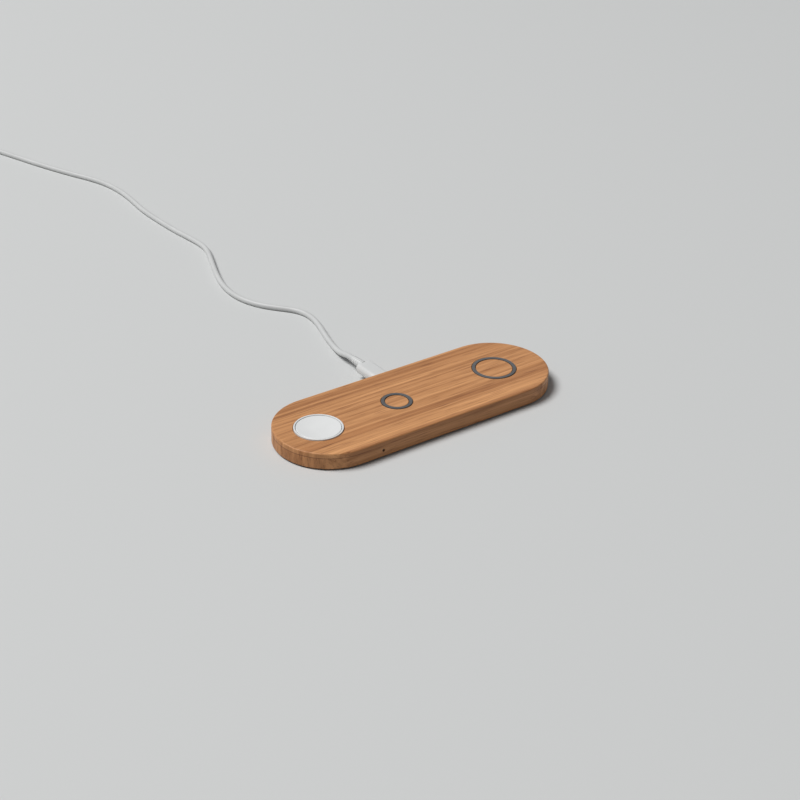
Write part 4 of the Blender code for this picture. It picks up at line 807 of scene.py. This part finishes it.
run = np.linspace(TAB_REACH, STRAP_BEND - STRAP_HALF, 28)
curl = TAB_CURL * (np.clip(run - STRAP_HALF, 0, None) / (TAB_REACH - STRAP_HALF)) ** 2
bend = STRAP_HALF - STRAP_BEND
strap_line = [(u, STRAP_HALF + c) for u, c in zip(run, curl)]
strap_line += arc((-bend, bend), STRAP_BEND, 90, 180, 10)[1:] + arc((-bend, -bend), STRAP_BEND, 180, 270, 10)
strap_line += arc((bend, -bend), STRAP_BEND, 270, 360, 10) + [(STRAP_HALF, STRAP_HALF - STRAP_TAIL)]
strap_line = evenly(np.column_stack((np.array(strap_line), np.zeros(len(strap_line)))), STRAP_STEP)[:, :2]

half_wide, half_thick = STRAP_WIDTH / 2 - STRAP_EDGE, STRAP_THICKNESS / 2 - STRAP_EDGE
section = np.array([point for centre, q in (((half_wide, half_thick), 0), ((-half_wide, half_thick), 90),
                                            ((-half_wide, -half_thick), 180), ((half_wide, -half_thick), 270))
                    for point in arc(centre, STRAP_EDGE, q, q + 90, 5)])
strap_way = np.gradient(strap_line, axis=0)
strap_way /= np.linalg.norm(strap_way, axis=1)[:, None]
strap_normal = np.column_stack((-strap_way[:, 1], strap_way[:, 0]))
lifted = strap_line[:, None] + section[None, :, 1:] * strap_normal[:, None]
tie_angle = COIL_START + 2 * math.pi * TIE_TURN
outward, sideways = (math.cos(tie_angle), math.sin(tie_angle)), (-math.sin(tie_angle), math.cos(tie_angle))
reach = BUNDLE_RADIUS + lifted[..., 0]
strap_x = COIL_CENTRE[0] + reach * outward[0] + section[:, 0] * sideways[0]
strap_y = COIL_CENTRE[1] + reach * outward[1] + section[:, 0] * sideways[1]
strap_grid = np.stack((strap_x, strap_y, BUNDLE_HEIGHT + lifted[..., 1]), axis=-1)
strap = closed_tube("coil_strap", strap_grid, "cord_set")
wear(strap, silicone)
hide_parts("cord_tie")
print("strap volume", round(volume(strap.data) * 1e6, 3), "cm3")

# %% [markdown]
# ## Steel shells and contacts
#
# A plug's shell is one strip of steel rolled round, so it is a thin wall with a rounded lip
# where it enters the socket. The larger plug has two square windows through both walls, in
# which the socket's springs catch, and a white tongue with four gold-plated contacts.

# %% Plug shells and contacts
def rolled_shell(name, size, corner, wall, tip, root, centre):
    """A tube of rounded section whose wall ends in a half-round lip at the tip."""
    lip = wall / 2
    profile = [(wall, root), (0, root)] + arc((lip, tip + lip), lip, 180, 360, 11)
    return rounded_form(name, size, corner, profile, "cord_set", "Y", centre, 12, loop=True)


C_SHELL, C_CORNER, C_WALL, C_ENDS = (8.25 * MM, 2.4 * MM), 1.199 * MM, 0.5 * MM, (25.65 * MM, 32.0 * MM)
A_SHELL, A_CORNER, A_WALL, A_TIP, A_ROOT = (12 * MM, 4.5 * MM), 0.6 * MM, 0.4 * MM, 424.1 * MM, 436.1 * MM
WINDOW, WINDOW_OUT, WINDOW_CORNER, WINDOW_TO = 2 * MM, 2.5 * MM, 0.3 * MM, 9 * MM
TONGUE, TONGUE_CORNER, TONGUE_HEIGHT = (10.6 * MM, 1.8 * MM), 0.3 * MM, 3.35 * MM
TONGUE_EASE, TONGUE_FRONT, TONGUE_SHOULDER = 0.25 * MM, 1.0 * MM, 1.3 * MM
CONTACT, CONTACT_CORNER, CONTACT_EASE = (1.0 * MM, 7.5 * MM), 0.3 * MM, 0.05 * MM
CONTACT_LOW, CONTACT_SHOULDER, CONTACT_TOP = 4.25 * MM, 4.30 * MM, 4.33 * MM
CONTACT_PLACES = [(x * MM, y * MM) for x, y in ((-3.5, 429.75), (-1.0, 430.75), (1.0, 430.75), (3.5, 429.75))]

nickel = plain("nickel_plate", (0.60, 0.60, 0.60), (0.68, 0.68, 0.67), (0.20, 0.32), 2600, 0.000006, 1.0, 300)
gold = plain("gold_plate", (0.78, 0.55, 0.24), (0.83, 0.60, 0.28), (0.18, 0.28), 3000, 0.000004, 1.0, 400)
c_shell = rolled_shell("usb_c_steel", C_SHELL, C_CORNER, C_WALL, *C_ENDS, USB_C_PLACE)
a_shell = rolled_shell("usb_a_steel", A_SHELL, A_CORNER, A_WALL, A_TIP, A_ROOT, USB_A_PLACE)
window_centres = [(USB_A_PLACE[0] + side * WINDOW_OUT, (A_TIP + A_ROOT) / 2) for side in (-1, 1)]
carve(a_shell, *[rounded_form(f"window_{i}", (WINDOW, WINDOW), WINDOW_CORNER, [(0, -PAST), (0, WINDOW_TO)],
                              None, centre=place, steps=6) for i, place in enumerate(window_centres)])
tongue_profile = [(TONGUE_EASE, A_TIP + TONGUE_FRONT), (0, A_TIP + TONGUE_SHOULDER), (0, A_ROOT)]
a_tongue = rounded_form("usb_a_tongue_bar", TONGUE, TONGUE_CORNER, tongue_profile, "cord_set", "Y",
                        (USB_A_PLACE[0], TONGUE_HEIGHT), 6)
for piece, finish, slot, stood_for in ((c_shell, nickel, "connector_steel", "usb_c_plug_shell"),
                                       (a_shell, nickel, "connector_steel", "usb_a_shell"),
                                       (a_tongue, satin_white, "white_plastic", "usb_a_tongue")):
    wear(piece, finish)
    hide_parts(stood_for)
contact_profile = [(0, CONTACT_LOW), (0, CONTACT_SHOULDER), (CONTACT_EASE, CONTACT_TOP)]
for i, (across, middle) in enumerate(CONTACT_PLACES):
    strip = rounded_form(f"usb_a_contact_{i + 1}", CONTACT, CONTACT_CORNER, contact_profile, "cord_set",
                         centre=(USB_A_PLACE[0] + across, middle), steps=6)
    wear(strip, gold)
print("plug shells:", len(c_shell.data.polygons), "and", len(a_shell.data.polygons), "faces")

# %% [markdown]
# ## Screws
#
# The cover's screws are small cross heads with a domed rim. Two crossed bars, milled into
# the head, give the driver its hold.

# %% Screws
SCREW_HEAD, SCREW_SHANK, HEAD_LOW, HEAD_TOP, SHANK_TOP = 1.4 * MM, 0.8 * MM, 1.0 * MM, 1.6 * MM, 6.6 * MM
HEAD_EASE, SLOT_LONG, SLOT_WIDE, SLOT_DEPTH = 0.35 * MM, 1.4 * MM, 0.4 * MM, 0.3 * MM
TIP_RADIUS, TIP_LONG, BAR_CORNER = 0.45 * MM, 0.4 * MM, 0.1 * MM

screw_profile = [(TIP_RADIUS, SHANK_TOP), (SCREW_SHANK, SHANK_TOP - TIP_LONG), (SCREW_SHANK, HEAD_TOP)]
screw_profile += [(SCREW_HEAD, HEAD_TOP)]
screw_profile += arc((SCREW_HEAD - HEAD_EASE, HEAD_LOW + HEAD_EASE), HEAD_EASE, 0, -90, 8)
bar_profile = [(0, HEAD_LOW - PAST), (0, HEAD_LOW + SLOT_DEPTH)]
zinc = plain("zinc_plate", (0.40, 0.40, 0.41), (0.50, 0.50, 0.51), (0.28, 0.42), 2400, 0.00001, 1.0, 500)
for i, screw_place in enumerate(SCREW_PLACES):
    screw = turned_form(f"cover_screw_{i + 1}", screw_profile, centre=screw_place, steps=48)
    carve(screw, *[rounded_form(f"bar_{k}", size, BAR_CORNER, bar_profile, None, centre=screw_place, steps=4)
                   for k, size in enumerate(((SLOT_LONG, SLOT_WIDE), (SLOT_WIDE, SLOT_LONG)))])
    wear(screw, zinc)
    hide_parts(f"base_screw_{i + 1}")
dress(zinc, *[f"board_screw_{i + 1}" for i in range(4)])
dress(nickel, "usb_c_socket", "watch_magnet")

# %% [markdown]
# ## The charging coils
#
# A charging coil is enamelled copper wire wound flat, turn against turn. Seen from above it
# is a set of fine rings. The profile below is a row of low humps, one for each wire, once
# along the top and back along the bottom, so every turn catches the light by itself. Each
# coil lies on a grey ferrite plate, which keeps its field out of the board below.

# %% Coils and plates
def winding(name, inner, outer, low, high, wire, place):
    """Rings of wire side by side, the surface dipping by a fifth of a wire between them."""
    count = round((outer - inner) / wire)
    angle = np.linspace(0, np.pi, 7)[:-1]
    across = (inner + (outer - inner) * (np.arange(count)[:, None] + (1 - np.cos(angle)) / 2) / count).ravel()
    dip = np.tile(wire / 5 * (1 - np.sin(angle)), count)
    across, dip = np.append(across, outer), np.append(dip, wire / 5)
    top, bottom = np.column_stack((across, high - dip)), np.column_stack((across[::-1], low + dip[::-1]))
    return turned_form(name, np.vstack((top, bottom)), centre=place, steps=96, loop=True)


copper = plain("enamelled_copper", (0.58, 0.24, 0.09), (0.70, 0.33, 0.14), (0.22, 0.34), 1500, 0.000004,
               1.0, 120)
for name, inner, outer, low, high, wire, x in (("watch_coil", 5.6, 12.7, 8.0, 9.2, 0.40, PUCK_X),
                                               ("earbuds_coil", 6.0, 14.5, 7.2, 8.4, 0.50, EARBUDS_X),
                                               ("phone_coil", 10.0, 21.5, 7.2, 8.4, 0.60, PHONE_X)):
    wound = winding(name.replace("coil", "winding"), inner * MM, outer * MM, low * MM, high * MM, wire * MM,
                    (x, 0))
    wear(wound, copper)
    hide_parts(name)
ferrite_grey = plain("ferrite_grey", (0.040, 0.040, 0.043), (0.062, 0.062, 0.066), (0.50, 0.70), 1500,
                     0.00002)
dress(ferrite_grey, "watch_ferrite", "earbuds_ferrite", "phone_ferrite", "power_inductor")

# %% [markdown]
# ## The boards and what stands on them
#
# The circuit boards are glass fibre under green solder resist, a little cloudy where copper
# lies under it. Chips are moulded black, capacitors are fired tan ceramic, and the coils'
# wires run in black sleeves. The status light shines out through a rod of smoky plastic,
# whose end lies just inside the small hole in the front edge.

# %% Boards, chips, wires and the status light
ROD_RADIUS, ROD_EASE, ROD_START, ROD_SHOULDER = 0.6 * MM, 0.15 * MM, -25.7 * MM, -31.3 * MM
ROD_DOME, ROD_FLAT = (0.3 * MM, -31.48 * MM), (0.1 * MM, -31.5 * MM)

resist = plain("solder_resist", (0.008, 0.085, 0.035), (0.014, 0.120, 0.050), (0.28, 0.44), 900, 0.00001,
               blotch=400)
epoxy = plain("moulded_epoxy", (0.014, 0.014, 0.015), (0.022, 0.022, 0.023), (0.45, 0.60), 2400, 0.000015)
ceramic = plain("fired_ceramic", (0.40, 0.28, 0.16), (0.50, 0.37, 0.23), (0.38, 0.52), 1800, 0.00001)
black_sleeve = plain("wire_sleeve", (0.020, 0.020, 0.020), (0.034, 0.034, 0.034), (0.42, 0.56), 1600, 0.00001)
smoky_lens = plain("smoky_lens", (0.050, 0.034, 0.024), (0.075, 0.052, 0.037), (0.16, 0.26), 900, 0.000004)
dress(resist, "main_board", "watch_puck_board")
dress(epoxy, "controller_chip", "phone_driver_chip", "earbuds_driver_chip", "watch_driver_chip")
dress(ceramic, "phone_capacitor", "earbuds_capacitor", "watch_capacitor")
dress(black_sleeve, "watch_coil_lead", "earbuds_coil_lead", "phone_coil_lead", "socket_tongue")
dress(smoky_lens, "status_led")
rod_profile = [(ROD_RADIUS, ROD_START), (ROD_RADIUS, ROD_SHOULDER)]
rod_profile += arc((ROD_RADIUS - ROD_EASE, ROD_SHOULDER), ROD_EASE, 0, -80, 5) + [ROD_DOME, ROD_FLAT]
light_rod = turned_form("light_rod", rod_profile, axis="Y", centre=LED_PLACE, steps=48)
wear(light_rod, smoky_lens)
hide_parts("light_pipe")
